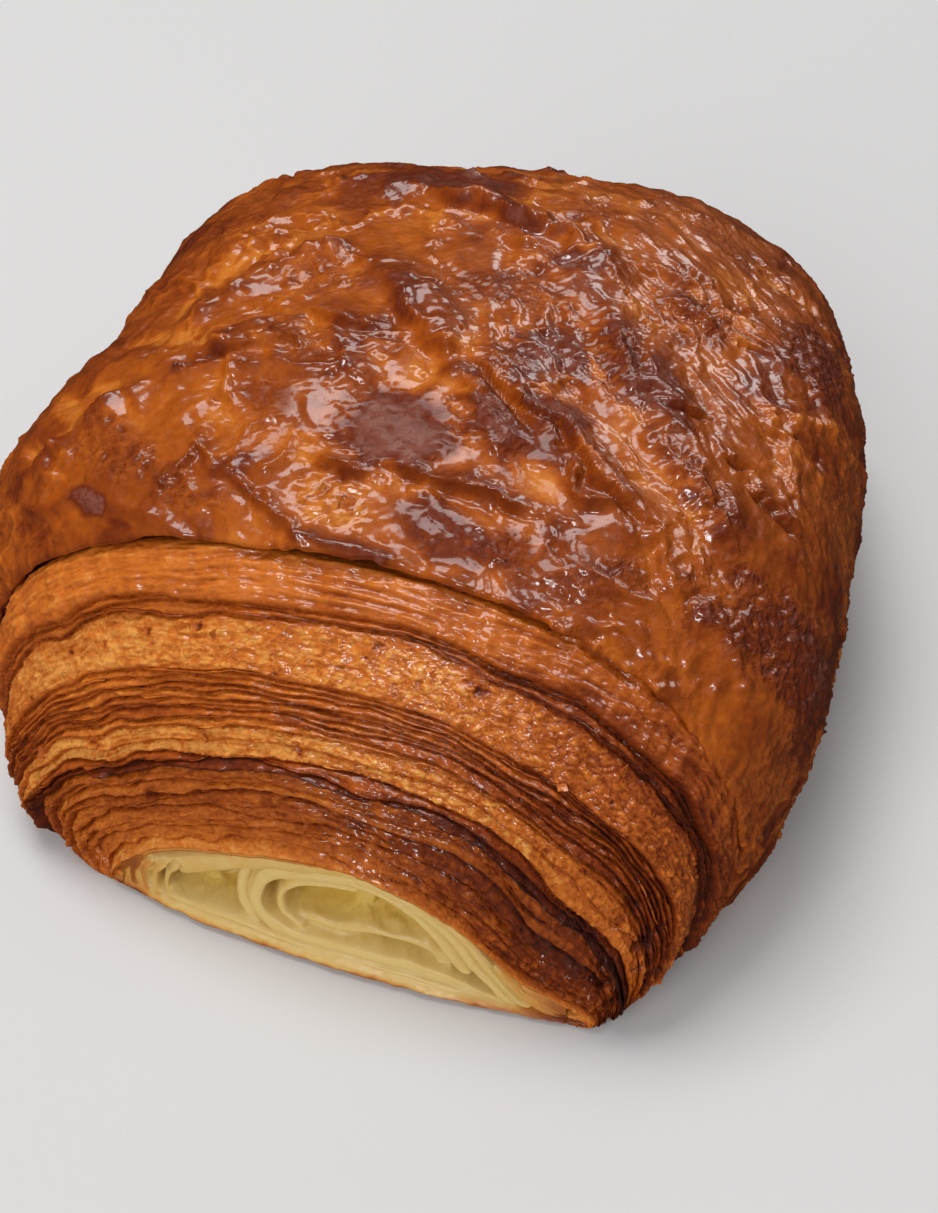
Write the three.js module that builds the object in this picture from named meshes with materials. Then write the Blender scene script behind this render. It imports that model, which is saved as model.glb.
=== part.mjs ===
import * as THREE from 'three';

// Pain au chocolat: a sheet of layered dough rolled up and baked in one piece.
// Millimetres. X runs across the roll, Y along it, and the underside lies on Z = 0.
// The skin is a stack of closed rings. They start deep in the near mouth, come out over its rim,
// climb the layered end, pass the crust's lip and the crown, and go down again into the far mouth.

// Driving sizes
const halfLength = 50.8;      // from the middle of the roll to the rim of either mouth
const crownHeight = 49.2;     // top of the crust above the underside
const crownHalfWidth = 46.4;  // widest half width, at a third of the height
const crownTilt = 0.016;      // how much higher the crown is towards the far end
const rimHeight = 14;         // top of the rim round a mouth
const rimHalfWidth = 27.5;    // half width of that rim
const endSkew = 0.14;         // both ends run askew: millimetres along for each one across
const skewStart = 0.2;        // share of the half length where the skew begins

// Cross-section of the loaf: a squarish dome over a flank that tucks under.
// Towards the mouths it turns into a low lens with its peak right of the middle.
const crownSquareness = 2.35; // exponent of the dome, 2 is an ellipse
const rimSquareness = 1.9;
const flankShare = 0.16;      // share of the outline that each lower flank takes
const crownWaist = 0.42;      // height of the widest line, as a share of the section's height
const rimWaist = 0.12;
const flankTuck = 0.13;       // how far the flank draws in at the base, as a share of the half width
const peakShift = 5;          // how far right of the middle the rim peaks

// How the section shrinks from the crown to the ends
const bodyPower = 2.7;
const endPower = 1.9;

// Crust and layers
const lipFullness = 0.8;      // where the crust's skin ends and the layered end begins
const lipStep = 1.6;          // how far the crust stands proud of the layers
const rimRounding = 0.08;     // the fullness over which the layers rise from a mouth's rim
const lipRounding = 0.02;     // the fullness over which the lip's edge rolls in
const layerCount = 6;         // thick bundles of layers from the rim to the lip
const layerDepth = 1.3;       // depth of the groove between two bundles
const grooveWidth = 0.5;      // exponent of the groove's outline, lower is narrower

// Mouth at each end, with the rolled-up inner dough standing in it
const mouthInset = 4;         // from the rim's side to the mouth's corner
const cornerHeight = 0.7;     // height of the mouth's corners, as a share of its middle's height
const mouthNarrowing = 0.25;  // how much narrower the mouth is at its middle line
const rimThickness = 1.4;     // the rolled layers above the mouth
const soleThickness = 2;      // the sheet that the roll ends on
const pocketDepth = 5;        // how far the air pockets reach in
const pocketRounding = 0.35;  // the closure over which they reach that depth
const sheetDepth = 1.2;       // how far the edges of the dough sheets stand back
const innerRoll = { x: 3, z: 7, halfWidth: 13.5, halfHeight: 3.6, wall: 0.4 };
const webs = [
  { place: -20, width: 2.2 },
  { place: 4, width: 2 },
  { place: 21, width: 3 },
];

// Folds of the crust: start, end, height and half width of each. They fade out round the lip.
const foldsBelowLip = 0.06;
const foldsAboveLip = 0.1;
const folds = [
  { from: [-6, 2], to: [24, -27], height: 1.5, spread: 2.6 },
  { from: [15, 5], to: [34, -22], height: 1.6, spread: 3 },
  { from: [-12, 21], to: [17, 8], height: 1.5, spread: 3.2 },
  { from: [-34, -12], to: [-6, -16], height: 1.2, spread: 2.8 },
  { from: [-36, 6], to: [-12, 4], height: 1.3, spread: 3 },
  { from: [-8, -35], to: [20, -38], height: 1.1, spread: 2.2 },
  { from: [-36, 24], to: [-14, 32], height: 1.2, spread: 3.4 },
  { from: [20, 16], to: [36, 6], height: 1.1, spread: 2.8 },
];

// Slow unevenness of the crust: its height, and the lengths over which it comes and goes
const swell = { height: 0.7, across: 9, along: 11, lean: 23, shift: 1.3 };

// The left flank steps in behind the middle, in bulges
const flankStep = 5.8;
const flankStepStart = -18.5;
const flankStepEnd = 2.6;
const leftFlankStart = 26;    // from the roll's middle line
const leftFlankFull = 40;
const bulges = [
  { place: -22, height: 0.8, spread: 6 },
  { place: -4, height: 1.6, spread: 6 },
  { place: 9, height: 0.9, spread: 4 },
  { place: 24, height: 1.5, spread: 8 },
  { place: 39, height: 0.7, spread: 4 },
];

// The right flank swells in front of the middle, and draws in at the near corner and the far one
const rightBulge = { place: -20, height: 1, spread: 14, start: 30, full: 42 };
const corners = [
  { draw: 2, place: -0.82, spread: 0.16 },
  { draw: 2, place: 0.69, spread: 0.3 },
];

// Mesh density
const archSteps = 54;
const soleSteps = 20;
const ringsPerLayer = 3;
const crownRings = 16;
const mouthRings = 8;
const mouthClosure = 0.9;     // how far the innermost ring has shrunk towards the mouth's middle line
const baseEase = 0.05;        // share of the outline over which the relief fades out at the base
const normalGap = 0.004;      // half the distance over which a direction is measured

const crustColour = 0xa6581c;

function smoothStep(value, start, end) {
  const t = THREE.MathUtils.clamp((value - start) / (end - start), 0, 1);
  return t * t * (3 - 2 * t);
}

function bump(distance, spread) {
  return Math.exp(-((distance / spread) ** 2));
}

// Outline of the section from the left base corner (share 0) to the right one (share 1).
function sectionPoint(share, fullness) {
  const squareness = THREE.MathUtils.lerp(rimSquareness, crownSquareness, fullness);
  const waist = THREE.MathUtils.lerp(rimWaist, crownWaist, Math.sqrt(fullness));
  const side = share < 0.5 ? -1 : 1;
  const fromBase = Math.min(share, 1 - share);
  if (fromBase < flankShare) {
    const height = waist * fromBase / flankShare;
    const drop = (waist - height) / waist;
    return [side * (1 - flankTuck * (1 - Math.sqrt(1 - drop * drop))), height];
  }
  const angle = Math.PI * (fromBase - flankShare) / (1 - 2 * flankShare);
  const reach = Math.max(Math.cos(angle), 0) ** (2 / squareness);
  const rise = Math.sin(angle) ** (2 / squareness);
  return [side * reach, waist + (1 - waist) * rise];
}

// How full the section is, from 0 at a mouth's rim to 1 in the middle of the roll.
function fullnessAt(along) {
  return Math.max(1 - Math.abs(along) ** bodyPower, 0) ** (1 / endPower);
}

function alongAt(fullness) {
  return (1 - fullness ** endPower) ** (1 / bodyPower);
}

// The smooth loaf, before its folds and layers. along runs from -1 at the near rim to 1 at the far one.
function smoothPoint(share, along) {
  const fullness = fullnessAt(along);
  const [across, up] = sectionPoint(share, fullness);
  const halfWidth = THREE.MathUtils.lerp(rimHalfWidth, crownHalfWidth, fullness);
  const height = THREE.MathUtils.lerp(rimHeight, crownHeight, fullness);
  let x = across * halfWidth;
  const straightY = along * halfLength;
  if (x < 0) {
    x += flankStep * -across * fullness * smoothStep(straightY, flankStepStart, flankStepEnd);
  } else {
    for (const corner of corners) {
      x -= corner.draw * across * bump(along - corner.place, corner.spread);
    }
  }
  x += peakShift * up * (1 - fullness);
  const skew = endSkew * Math.sign(along) * smoothStep(Math.abs(along), skewStart, 1);
  return new THREE.Vector3(x, straightY + skew * x, up * height * (1 + crownTilt * along * fullness));
}

function surfaceNormal(share, along) {
  const left = smoothPoint(Math.max(share - normalGap, 0), along);
  const right = smoothPoint(Math.min(share + normalGap, 1), along);
  const near = smoothPoint(share, Math.max(along - normalGap, -1));
  const far = smoothPoint(share, Math.min(along + normalGap, 1));
  return new THREE.Vector3().crossVectors(far.sub(near), right.sub(left)).normalize().negate();
}

// Rounded bundles of layers with a groove between each two, and the step up to the crust's skin.
function layerRelief(fullness) {
  const pastRim = smoothStep(fullness, 0, rimRounding);
  const pastLip = smoothStep(fullness, lipFullness, lipFullness + lipRounding);
  const wave = Math.abs(Math.sin(Math.PI * layerCount * fullness / lipFullness));
  const groove = 1 - wave ** grooveWidth;
  return -pastRim * (1 - pastLip) * (lipStep + layerDepth * groove);
}

function distanceToFold(x, y, fold) {
  const dx = fold.to[0] - fold.from[0];
  const dy = fold.to[1] - fold.from[1];
  const along = ((x - fold.from[0]) * dx + (y - fold.from[1]) * dy) / (dx * dx + dy * dy);
  const nearest = THREE.MathUtils.clamp(along, 0, 1);
  return Math.hypot(x - fold.from[0] - nearest * dx, y - fold.from[1] - nearest * dy);
}

// Folds, a slow unevenness, and the bulges of the flanks.
function crustRelief(point, fullness) {
  const onCrust = smoothStep(fullness, lipFullness - foldsBelowLip, lipFullness + foldsAboveLip);
  const overX = Math.sin(point.x / swell.across + swell.shift);
  const overY = Math.cos(point.y / swell.along - point.x / swell.lean);
  let relief = swell.height * overX * overY;
  for (const fold of folds) {
    relief += fold.height * bump(distanceToFold(point.x, point.y, fold), fold.spread);
  }
  const onLeft = smoothStep(-point.x, leftFlankStart, leftFlankFull);
  for (const bulge of bulges) {
    relief += onLeft * bulge.height * bump(point.y - bulge.place, bulge.spread);
  }
  const onRight = smoothStep(point.x, rightBulge.start, rightBulge.full);
  relief += onRight * rightBulge.height * bump(point.y - rightBulge.place, rightBulge.spread);
  return onCrust * relief;
}

function outerRing(along) {
  const fullness = fullnessAt(along);
  const ring = [];
  for (let step = 0; step <= archSteps; step += 1) {
    const share = step / archSteps;
    const point = smoothPoint(share, along);
    const lift = smoothStep(Math.min(share, 1 - share), 0, baseEase);
    const relief = lift * (layerRelief(fullness) + crustRelief(point, fullness));
    point.addScaledVector(surfaceNormal(share, along), relief);
    ring.push(point);
  }
  return closeAlongSole(ring);
}

// The underside of a ring: straight back from the right base corner to the left one.
function closeAlongSole(ring) {
  const rightEnd = ring[ring.length - 1];
  const leftEnd = ring[0];
  for (let step = 1; step < soleSteps; step += 1) {
    ring.push(rightEnd.clone().lerp(leftEnd, step / soleSteps));
  }
  return ring;
}

// How far the dough stands back at a place in the mouth: air pockets between the edges of the sheets.
function pocketAt(x, z) {
  const overWidth = (x - innerRoll.x) / innerRoll.halfWidth;
  const overHeight = (z - innerRoll.z) / innerRoll.halfHeight;
  const fromRoll = Math.hypot(overWidth, overHeight);
  let sheet = bump(fromRoll - 1, innerRoll.wall);
  for (const web of webs) {
    sheet = Math.max(sheet, bump(x - web.place, web.width));
  }
  return THREE.MathUtils.lerp(pocketDepth, sheetDepth, sheet);
}

// A ring inside a mouth. closure 0 is the mouth's edge, and 1 would be its middle line.
function mouthRing(end, closure) {
  const shrink = 1 - mouthInset / rimHalfWidth;
  const top = rimHeight - rimThickness;
  const middle = (top + soleThickness) / 2;
  const corner = middle * cornerHeight;
  const ring = [];
  const place = (x, z) => {
    const shrunkX = x * (1 - mouthNarrowing * closure);
    const shrunkZ = THREE.MathUtils.lerp(z, middle, closure);
    const inward = pocketAt(shrunkX, shrunkZ) * smoothStep(closure, 0, pocketRounding);
    ring.push(new THREE.Vector3(shrunkX, end * (halfLength + endSkew * shrunkX - inward), shrunkZ));
  };
  for (let step = 0; step <= archSteps; step += 1) {
    const share = THREE.MathUtils.lerp(flankShare, 1 - flankShare, step / archSteps);
    const rim = smoothPoint(share, end);
    const lift = (rim.z / rimHeight - rimWaist) / (1 - rimWaist);
    place(rim.x * shrink, THREE.MathUtils.lerp(corner, top, lift));
  }
  for (let step = 1; step < soleSteps; step += 1) {
    const angle = Math.PI * step / soleSteps;
    const drop = (corner - soleThickness) * Math.sin(angle);
    place(rimHalfWidth * shrink * Math.cos(angle), corner - drop);
  }
  return ring;
}

// Where the outer rings stand: evenly up each layered end, then evenly over the crust.
function ringStations() {
  const endStations = [];
  const endSteps = layerCount * ringsPerLayer;
  for (let step = 0; step <= endSteps; step += 1) {
    endStations.push(alongAt(lipFullness * step / endSteps));
  }
  endStations.push(alongAt(lipFullness + lipRounding));
  const lip = endStations[endStations.length - 1];
  const stations = endStations.map((along) => -along);
  for (let step = 1; step < crownRings; step += 1) {
    stations.push(THREE.MathUtils.lerp(-lip, lip, step / crownRings));
  }
  return stations.concat(endStations.reverse());
}

function allRings() {
  const rings = [];
  for (let step = mouthRings; step >= 0; step -= 1) {
    rings.push(mouthRing(-1, mouthClosure * step / mouthRings));
  }
  for (const along of ringStations()) {
    rings.push(outerRing(along));
  }
  for (let step = 0; step <= mouthRings; step += 1) {
    rings.push(mouthRing(1, mouthClosure * step / mouthRings));
  }
  return rings;
}

function ringMiddle(ring) {
  const middle = new THREE.Vector3();
  ring.forEach((point) => middle.add(point));
  return middle.divideScalar(ring.length);
}

// One closed skin over all rings, with a fan over the first ring and over the last.
function skinGeometry(rings) {
  const count = rings[0].length;
  const points = rings.flat();
  const faces = [];
  for (let ring = 0; ring < rings.length - 1; ring += 1) {
    for (let step = 0; step < count; step += 1) {
      const next = (step + 1) % count;
      const a = ring * count + step;
      const b = ring * count + next;
      faces.push(a, b, a + count, b, b + count, a + count);
    }
  }
  const nearMiddle = points.push(ringMiddle(rings[0])) - 1;
  const farMiddle = points.push(ringMiddle(rings[rings.length - 1])) - 1;
  const lastStart = (rings.length - 1) * count;
  for (let step = 0; step < count; step += 1) {
    const next = (step + 1) % count;
    faces.push(nearMiddle, next, step);
    faces.push(farMiddle, lastStart + step, lastStart + next);
  }
  const geometry = new THREE.BufferGeometry().setFromPoints(points);
  geometry.setIndex(faces);
  return geometry;
}

// Stand the middle of the underside on the origin.
function centreOnOrigin(geometry) {
  geometry.computeBoundingBox();
  const box = geometry.boundingBox;
  geometry.translate(-(box.min.x + box.max.x) / 2, -(box.min.y + box.max.y) / 2, -box.min.z);
  geometry.computeVertexNormals();
  return geometry;
}

const crust = new THREE.MeshStandardMaterial({ color: crustColour, roughness: 0.35, metalness: 0 });
const pastry = new THREE.Mesh(centreOnOrigin(skinGeometry(allRings())), crust);
pastry.name = 'pastry';

const group = new THREE.Group();
group.add(pastry);

export default group;
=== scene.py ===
import itertools
import math
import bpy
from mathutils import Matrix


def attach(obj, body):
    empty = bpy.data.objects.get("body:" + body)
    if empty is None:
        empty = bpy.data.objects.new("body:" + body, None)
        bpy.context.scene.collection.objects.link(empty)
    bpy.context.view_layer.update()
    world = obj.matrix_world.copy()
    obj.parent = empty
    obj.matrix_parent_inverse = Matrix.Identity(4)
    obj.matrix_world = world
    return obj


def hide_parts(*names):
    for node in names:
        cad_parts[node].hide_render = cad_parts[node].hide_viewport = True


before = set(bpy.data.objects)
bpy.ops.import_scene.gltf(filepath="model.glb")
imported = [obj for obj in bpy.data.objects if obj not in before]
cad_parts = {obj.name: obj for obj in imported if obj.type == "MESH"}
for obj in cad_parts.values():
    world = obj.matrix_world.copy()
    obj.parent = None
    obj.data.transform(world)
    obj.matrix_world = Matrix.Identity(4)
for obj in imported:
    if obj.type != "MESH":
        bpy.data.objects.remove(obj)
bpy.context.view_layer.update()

from types import SimpleNamespace

import bpy
import numpy as np
from mathutils import Vector

# Lengths are millimetres until a mesh is made, which turns them into metres.
# The loaf: its rings run from the near mouth (along = -1) to the far one (along = 1),
# and each ring's share runs from its left base corner (0) over the top to the right one (1).
loaf = {
    "halfLength": 50.8,
    "crownHeight": 49.2,
    "crownTilt": 0.016,
    "crownHalfWidth": 46.4,
    "rimHeight": 14.0,
    "rimHalfWidth": 27.5,
    "endSkew": 0.14,         # how far the ends stand askew, for each mm across
    "crownSquareness": 2.35,
    "rimSquareness": 1.9,
    "flankShare": 0.16,
    "crownWaist": 0.42,
    "rimWaist": 0.12,
    "flankTuck": 0.13,
    "peakShift": 5.0,
    "bodyPower": 2.7,
    "endPower": 1.9,
    "flankStep": 5.8,        # the left flank steps in past its middle
    "flankStepStart": -18.5,
    "flankStepEnd": 2.6,
    "corners": [(2.0, -0.82, 0.16), (2.0, 0.69, 0.3)],
    "shiftX": -0.19,         # stands the middle of the underside on the origin
    "shiftY": 0.01,
    "mouthBow": 2.4,         # how far the bottom of a mouth bows out
    "mouthMiddle": 0.5,
    "cornerTuck": 1.7,       # how far the left corner of a mouth is drawn in
    "rimDroop": ([4.0, 9.0, 14.7, 20.7, 25.0], [0.0, 0.10, 0.27, 0.60, 0.66]),
}


def limited(value):
    return np.clip(value, 0.0, 1.0)


def smoothStep(value, start, end):
    t = limited((value - start) / (end - start))
    return t * t * (3.0 - 2.0 * t)


def bump(distance, spread):
    return np.exp(-((distance / spread) ** 2))


# Two limits are a middle and a spread. Four are where it rises, is full, fades and is gone.
def within(value, limits):
    if len(limits) == 2:
        return bump(value - limits[0], limits[1])
    return smoothStep(value, *limits[:2]) * (1.0 - smoothStep(value, *limits[2:]))


def lerp(a, b, t):
    return a + (b - a) * t


def unit(vectors):
    return vectors / np.maximum(np.linalg.norm(vectors, axis=-1, keepdims=True), 1e-9)


def stacked(x, y, z=0.0):
    return np.stack(np.broadcast_arrays(x, y, z), axis=-1)


# Noise on points, the same on every run
def cornerHash(ix, iy, iz, seed):
    h = (ix * 374761393 + iy * 668265263 + iz * 1440662683 + seed * 974634777) & 0xFFFFFFFF
    h = ((h ^ (h >> 15)) * 739982445) & 0xFFFFFFFF
    h = ((h ^ (h >> 12)) * 695872825) & 0xFFFFFFFF
    return h ^ (h >> 15)


# Three numbers from 0 to 1 out of one hash
def hashShares(h):
    return [((h >> (10 * k)) & 1023) / 1023.0 for k in range(3)]


def softNoise(points, seed):
    floor = np.floor(points)
    cell = floor.astype(np.int64)
    f = points - floor
    fade = f * f * f * (f * (f * 6.0 - 15.0) + 10.0)
    total = np.zeros(points.shape[:-1])
    for corner in itertools.product((0, 1), repeat=3):
        h = cornerHash(*(cell[..., k] + corner[k] for k in range(3)), seed)
        weight, dot = 1.0, 0.0
        for k, slope in enumerate(hashShares(h)):
            weight = weight * (fade[..., k] if corner[k] else 1.0 - fade[..., k])
            dot = dot + (2.0 * slope - 1.0) * (f[..., k] - corner[k])
        total += weight * dot
    return total * 1.25


# Three noises at once, to shake points
def shake(points, size, *seeds):
    return np.stack([softNoise(points / size, seed) for seed in seeds], axis=-1)


def layeredNoise(points, size, seed, octaves=4, gain=0.5, kind="soft"):
    total = np.zeros(points.shape[:-1])
    weight, norm = 1.0, 0.0
    p = points / size
    for octave in range(octaves):
        n = softNoise(p + 17.3 * octave, seed + octave)
        if kind == "billow":       # smooth swells between sharp valleys
            n = np.abs(n) * 2.0 - 0.55
        elif kind == "ridge":      # sharp crests between smooth hollows
            n = 0.55 - np.abs(n) * 2.0
        total += weight * n
        norm += weight
        weight *= gain
        p = p * 2.03
    return total / norm


# Distance to the nearest scattered point and to the next one, and a value of its own for each cell
def cellNoise(points, size, seed):
    p = points / size
    cell = np.floor(p).astype(np.int64)
    nearest, second, own = (np.full(p.shape[:-1], value) for value in (9.0, 9.0, 0.0))
    for step in itertools.product((-1, 0, 1), repeat=3):
        corner = [cell[..., k] + step[k] for k in range(3)]
        h = cornerHash(*corner, seed)
        d = np.sqrt(sum((corner[k] + place - p[..., k]) ** 2 for k, place in enumerate(hashShares(h))))
        second = np.minimum(second, np.maximum(nearest, d))
        own = np.where(d < nearest, ((h >> 7) & 1023) / 1023.0, own)
        nearest = np.minimum(nearest, d)
    return nearest, second, own


# Flat facets: 0 along their borders, rising evenly towards each one's middle
def facets(points, size, seed):
    nearest, second = cellNoise(points, size, seed)[:2]
    return limited(second ** 2 - nearest ** 2)


# The smooth loaf
def fullnessAt(along):
    return np.maximum(1.0 - np.abs(along) ** loaf["bodyPower"], 0.0) ** (1.0 / loaf["endPower"])


def alongAt(fullness):
    return (1.0 - fullness ** loaf["endPower"]) ** (1.0 / loaf["bodyPower"])


def sectionPoint(share, fullness):
    squareness = lerp(loaf["rimSquareness"], loaf["crownSquareness"], fullness)
    waist = lerp(loaf["rimWaist"], loaf["crownWaist"], np.sqrt(fullness))
    side = np.where(share < 0.5, -1.0, 1.0)
    fromBase = np.minimum(share, 1.0 - share)
    flank = loaf["flankShare"]
    low = fromBase < flank
    height = waist * np.minimum(fromBase / flank, 1.0)
    drop = (waist - height) / waist
    lowReach = 1.0 - loaf["flankTuck"] * (1.0 - np.sqrt(np.maximum(1.0 - drop * drop, 0.0)))
    angle = math.pi * np.maximum(fromBase - flank, 0.0) / (1.0 - 2.0 * flank)
    reach = np.maximum(np.cos(angle), 0.0) ** (2.0 / squareness)
    rise = np.sin(angle) ** (2.0 / squareness)
    return side * np.where(low, lowReach, reach), np.where(low, height, waist + (1.0 - waist) * rise)


def smoothLoaf(share, along):
    fullness = fullnessAt(along)
    across, up = sectionPoint(share, fullness)
    x = across * lerp(loaf["rimHalfWidth"], loaf["crownHalfWidth"], fullness)
    straightY = along * loaf["halfLength"]
    step = smoothStep(straightY, loaf["flankStepStart"], loaf["flankStepEnd"])
    cornerIn = sum(-draw * across * bump(along - middle, spread) for draw, middle, spread in loaf["corners"])
    x = x + np.where(across < 0.0, -loaf["flankStep"] * across * fullness * step, cornerIn)
    x = x + loaf["peakShift"] * up * (1.0 - fullness)
    skew = loaf["endSkew"] * np.sign(along) * smoothStep(np.abs(along), 0.2, 1.0)
    tilt = 1.0 + loaf["crownTilt"] * along * fullness
    z = up * lerp(loaf["rimHeight"], loaf["crownHeight"], fullness) * tilt
    return stacked(x + loaf["shiftX"], straightY + skew * x + loaf["shiftY"], z)


def smoothNormal(share, along):
    gap = 0.004
    overShare = smoothLoaf(np.minimum(share + gap, 1.0), along)
    overShare = overShare - smoothLoaf(np.maximum(share - gap, 0.0), along)
    overAlong = smoothLoaf(share, np.minimum(along + gap, 1.0))
    overAlong = overAlong - smoothLoaf(share, np.maximum(along - gap, -1.0))
    return unit(np.cross(overShare, overAlong))


# How much lower the plies hang over the mouth, as a share of its height there
def rimDroop(x):
    return np.interp(x, *loaf["rimDroop"])


def mouthBow(x):
    return loaf["mouthBow"] * np.maximum(1.0 - ((x - loaf["mouthMiddle"]) / loaf["rimHalfWidth"]) ** 2, 0.0)


def cornerTuck(x):
    return loaf["cornerTuck"] * smoothStep(-x, 17.0, 27.0)


# Grids of points, rows by columns
def gridNormals(points):
    return unit(np.cross(np.gradient(points, axis=1), np.gradient(points, axis=0)))


def gridQuads(index):
    corners = [index[:-1, :-1], index[:-1, 1:], index[1:, 1:], index[1:, :-1]]
    return np.stack(corners, axis=-1).reshape(-1, 4).tolist()


def gridIndex(rows, columns, start=0):
    return np.arange(start, start + rows * columns).reshape(rows, columns)


def blurGrid(field, sigma):
    reach = int(3 * sigma)
    kernel = np.exp(-0.5 * (np.arange(-reach, reach + 1) / sigma) ** 2)
    kernel /= kernel.sum()
    for axis in (0, 1):
        pad = [(reach, reach) if k == axis else (0, 0) for k in range(2)]
        padded = np.pad(field, pad, mode="edge")
        field = np.apply_along_axis(lambda line: np.convolve(line, kernel, mode="valid"), axis, padded)
    return field


def changed(fields, change):
    return {key: change(value) for key, value in fields.items()}


def addObject(name, data):
    item = bpy.data.objects.new(name, data)
    bpy.context.collection.objects.link(item)
    return item


def makeMesh(name, points, faces, material, fields, normals=None, edges=()):
    mesh = bpy.data.meshes.new(name)
    mesh.from_pydata((points * 0.001).tolist(), edges, faces)
    mesh.update()
    mesh.polygons.foreach_set("use_smooth", np.ones(len(mesh.polygons), dtype=bool))
    for field, values in fields.items():
        kind, key = ("FLOAT", "value") if values.ndim == 1 else ("FLOAT_VECTOR", "vector")
        mesh.attributes.new(field, kind, "POINT").data.foreach_set(key, values.astype(np.float32).ravel())
    if normals is not None:
        mesh.normals_split_custom_set_from_vertices(normals.tolist())
    mesh.materials.append(material)
    return addObject(name, mesh)


# Says what the piece rides on, and hides the CAD part that it stands for
def settle(piece):
    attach(piece, "root")
    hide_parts("pastry")


# A grid with a plain back of two rows, so that the piece is one closed body
def closedPatch(name, points, normals, fields, backStart, backEnd, material):
    ring = np.concatenate([points, [backEnd, backStart]])
    index = gridIndex(*ring.shape[:2])
    faces = gridQuads(np.concatenate([index, index[:1]])) + [index[:, 0].tolist(), index[::-1, -1].tolist()]
    fields = changed(fields, lambda value: np.pad(value, ((0, 2), (0, 0))).ravel())
    backNormals = np.broadcast_to((0.0, 0.0, -1.0), (2, *points.shape[1:]))
    allNormals = np.concatenate([normals, backNormals]).reshape(-1, 3)
    print(name, len(faces), "faces")
    return makeMesh(name, ring.reshape(-1, 3), faces, material, fields, allNormals)


# Smooth curves through a few points
def smoothCurve(points, steps):
    p = np.array(points, dtype=float)
    ends = np.concatenate([p[:1] * 2 - p[1:2], p, p[-1:] * 2 - p[-2:-1]])
    out = []
    for k in range(len(p) - 1):
        a, b, c, d = ends[k:k + 4]
        for t in np.arange(steps) / steps:
            bend = (2 * a - 5 * b + 4 * c - d) * t * t + (3 * b - a - 3 * c + d) * t ** 3
            out.append(0.5 * (2 * b + (c - a) * t + bend))
    return np.array(out + [p[-1]])


def onLoaf(share, y):
    share, along = np.asarray(share, dtype=float), np.asarray(y, dtype=float) / loaf["halfLength"]
    return smoothLoaf(share, along), smoothNormal(share, along)


# How far each point is to the left of a curve on the loaf, and how far along the curve
def besideCurve(p, points, reach):
    line = smoothCurve(points, 4)
    curve, normals = onLoaf(line[:, 0], line[:, 1])
    side, place = np.full(p.shape[:-1], 1e3), np.zeros(p.shape[:-1])
    mask = np.all((p > curve.min(axis=0) - reach) & (p < curve.max(axis=0) + reach), axis=-1)
    q = p[mask]
    qSide, qPlace, nearest = side[mask], place[mask], np.full(len(q), 1e6)
    lengths = np.linalg.norm(np.diff(curve, axis=0), axis=1)
    before = 0.0
    for k, length in enumerate(lengths):
        a, d = curve[k], curve[k + 1] - curve[k]
        t = limited((q - a) @ d / (d @ d))
        away = q - (a + t[:, None] * d)
        distance = np.linalg.norm(away, axis=1)
        left = np.cross(normals[k], d / length)
        closer = distance < nearest
        nearest = np.where(closer, distance, nearest)
        qSide = np.where(closer, np.where(away @ left < 0.0, -distance, distance), qSide)
        qPlace = np.where(closer, (before + t * length) / lengths.sum(), qPlace)
        before += length
    side[mask], place[mask] = qSide, qPlace
    return side, place


# The glossy crust. Broad folds: start and end in plan, height and half width.
broadFolds = [
    ((-6, 2), (24, -27), 1.5, 2.6),
    ((15, 5), (34, -22), 1.6, 3.0),
    ((-12, 21), (17, 8), 1.5, 3.2),
    ((-34, -12), (-6, -16), 1.2, 2.8),
    ((-36, 6), (-12, 4), 1.3, 3.0),
    ((-8, -35), (20, -38), 1.1, 2.2),
    ((-36, 24), (-14, 32), 1.2, 3.4),
    ((20, 16), (36, 6), 1.1, 2.8),
]

# Bulges of the flanks: place along the roll, height and half width
flankBulges = {
    "left": [(-22, 0.3, 6), (-5, 0.6, 5), (10, -0.9, 5), (23, 0.4, 6), (39, 0.4, 4)],
    "right": [(-20, 1.0, 14), (6, 1.5, 14), (34, 1.4, 14)],
}

crust = {
    "rows": 330,
    "columns": 562,
    "lipFullness": 0.79,
    "lipDrop": 0.055,        # the lip runs lower on its right
    "lipWander": 0.022,
    "lipRadius": 0.48,
    "lipRows": 7,
    "lipTurn": 165.0,        # degrees
    "lipHidden": 4,          # rows of the lip that keep the skin's own colour
    # the rows rolled under the lip are coloured dark as painted shade
    "lipHiddenBake": 0.85,
    "wallDepth": 3.0,
    "lowest": 0.7,           # hollows deeper than this are drawn up
    "broadFold": 0.55,
    "foldLift": 1.75,
    "swell": 0.5,
    "wrinkle": 0.30,
    "pleat": 0.45,
    "broad": 1.45,
    "film": 0.62,
    "filmFine": 0.34,
    "wrinkleLength": 9.0,
    "wrinkleWidth": 3.6,
    "wrinkleTurn": -39.0,    # degrees from +X, the way most folds run
    "paleBake": 0.13,
    "ripples": {             # length, width, turn and seed on the left of the crest and on its right
        "broad": [(8.0, 3.4, 8.0, 105), (8.5, 3.6, -39.0, 106)],
        "film": [(4.2, 2.0, -17.0, 107), (4.2, 1.9, -39.0, 96)],
        "pleats": [(15.0, 4.6, 2.0, 37), (17.0, 4.2, -53.0, 38)],
    },
}
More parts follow.
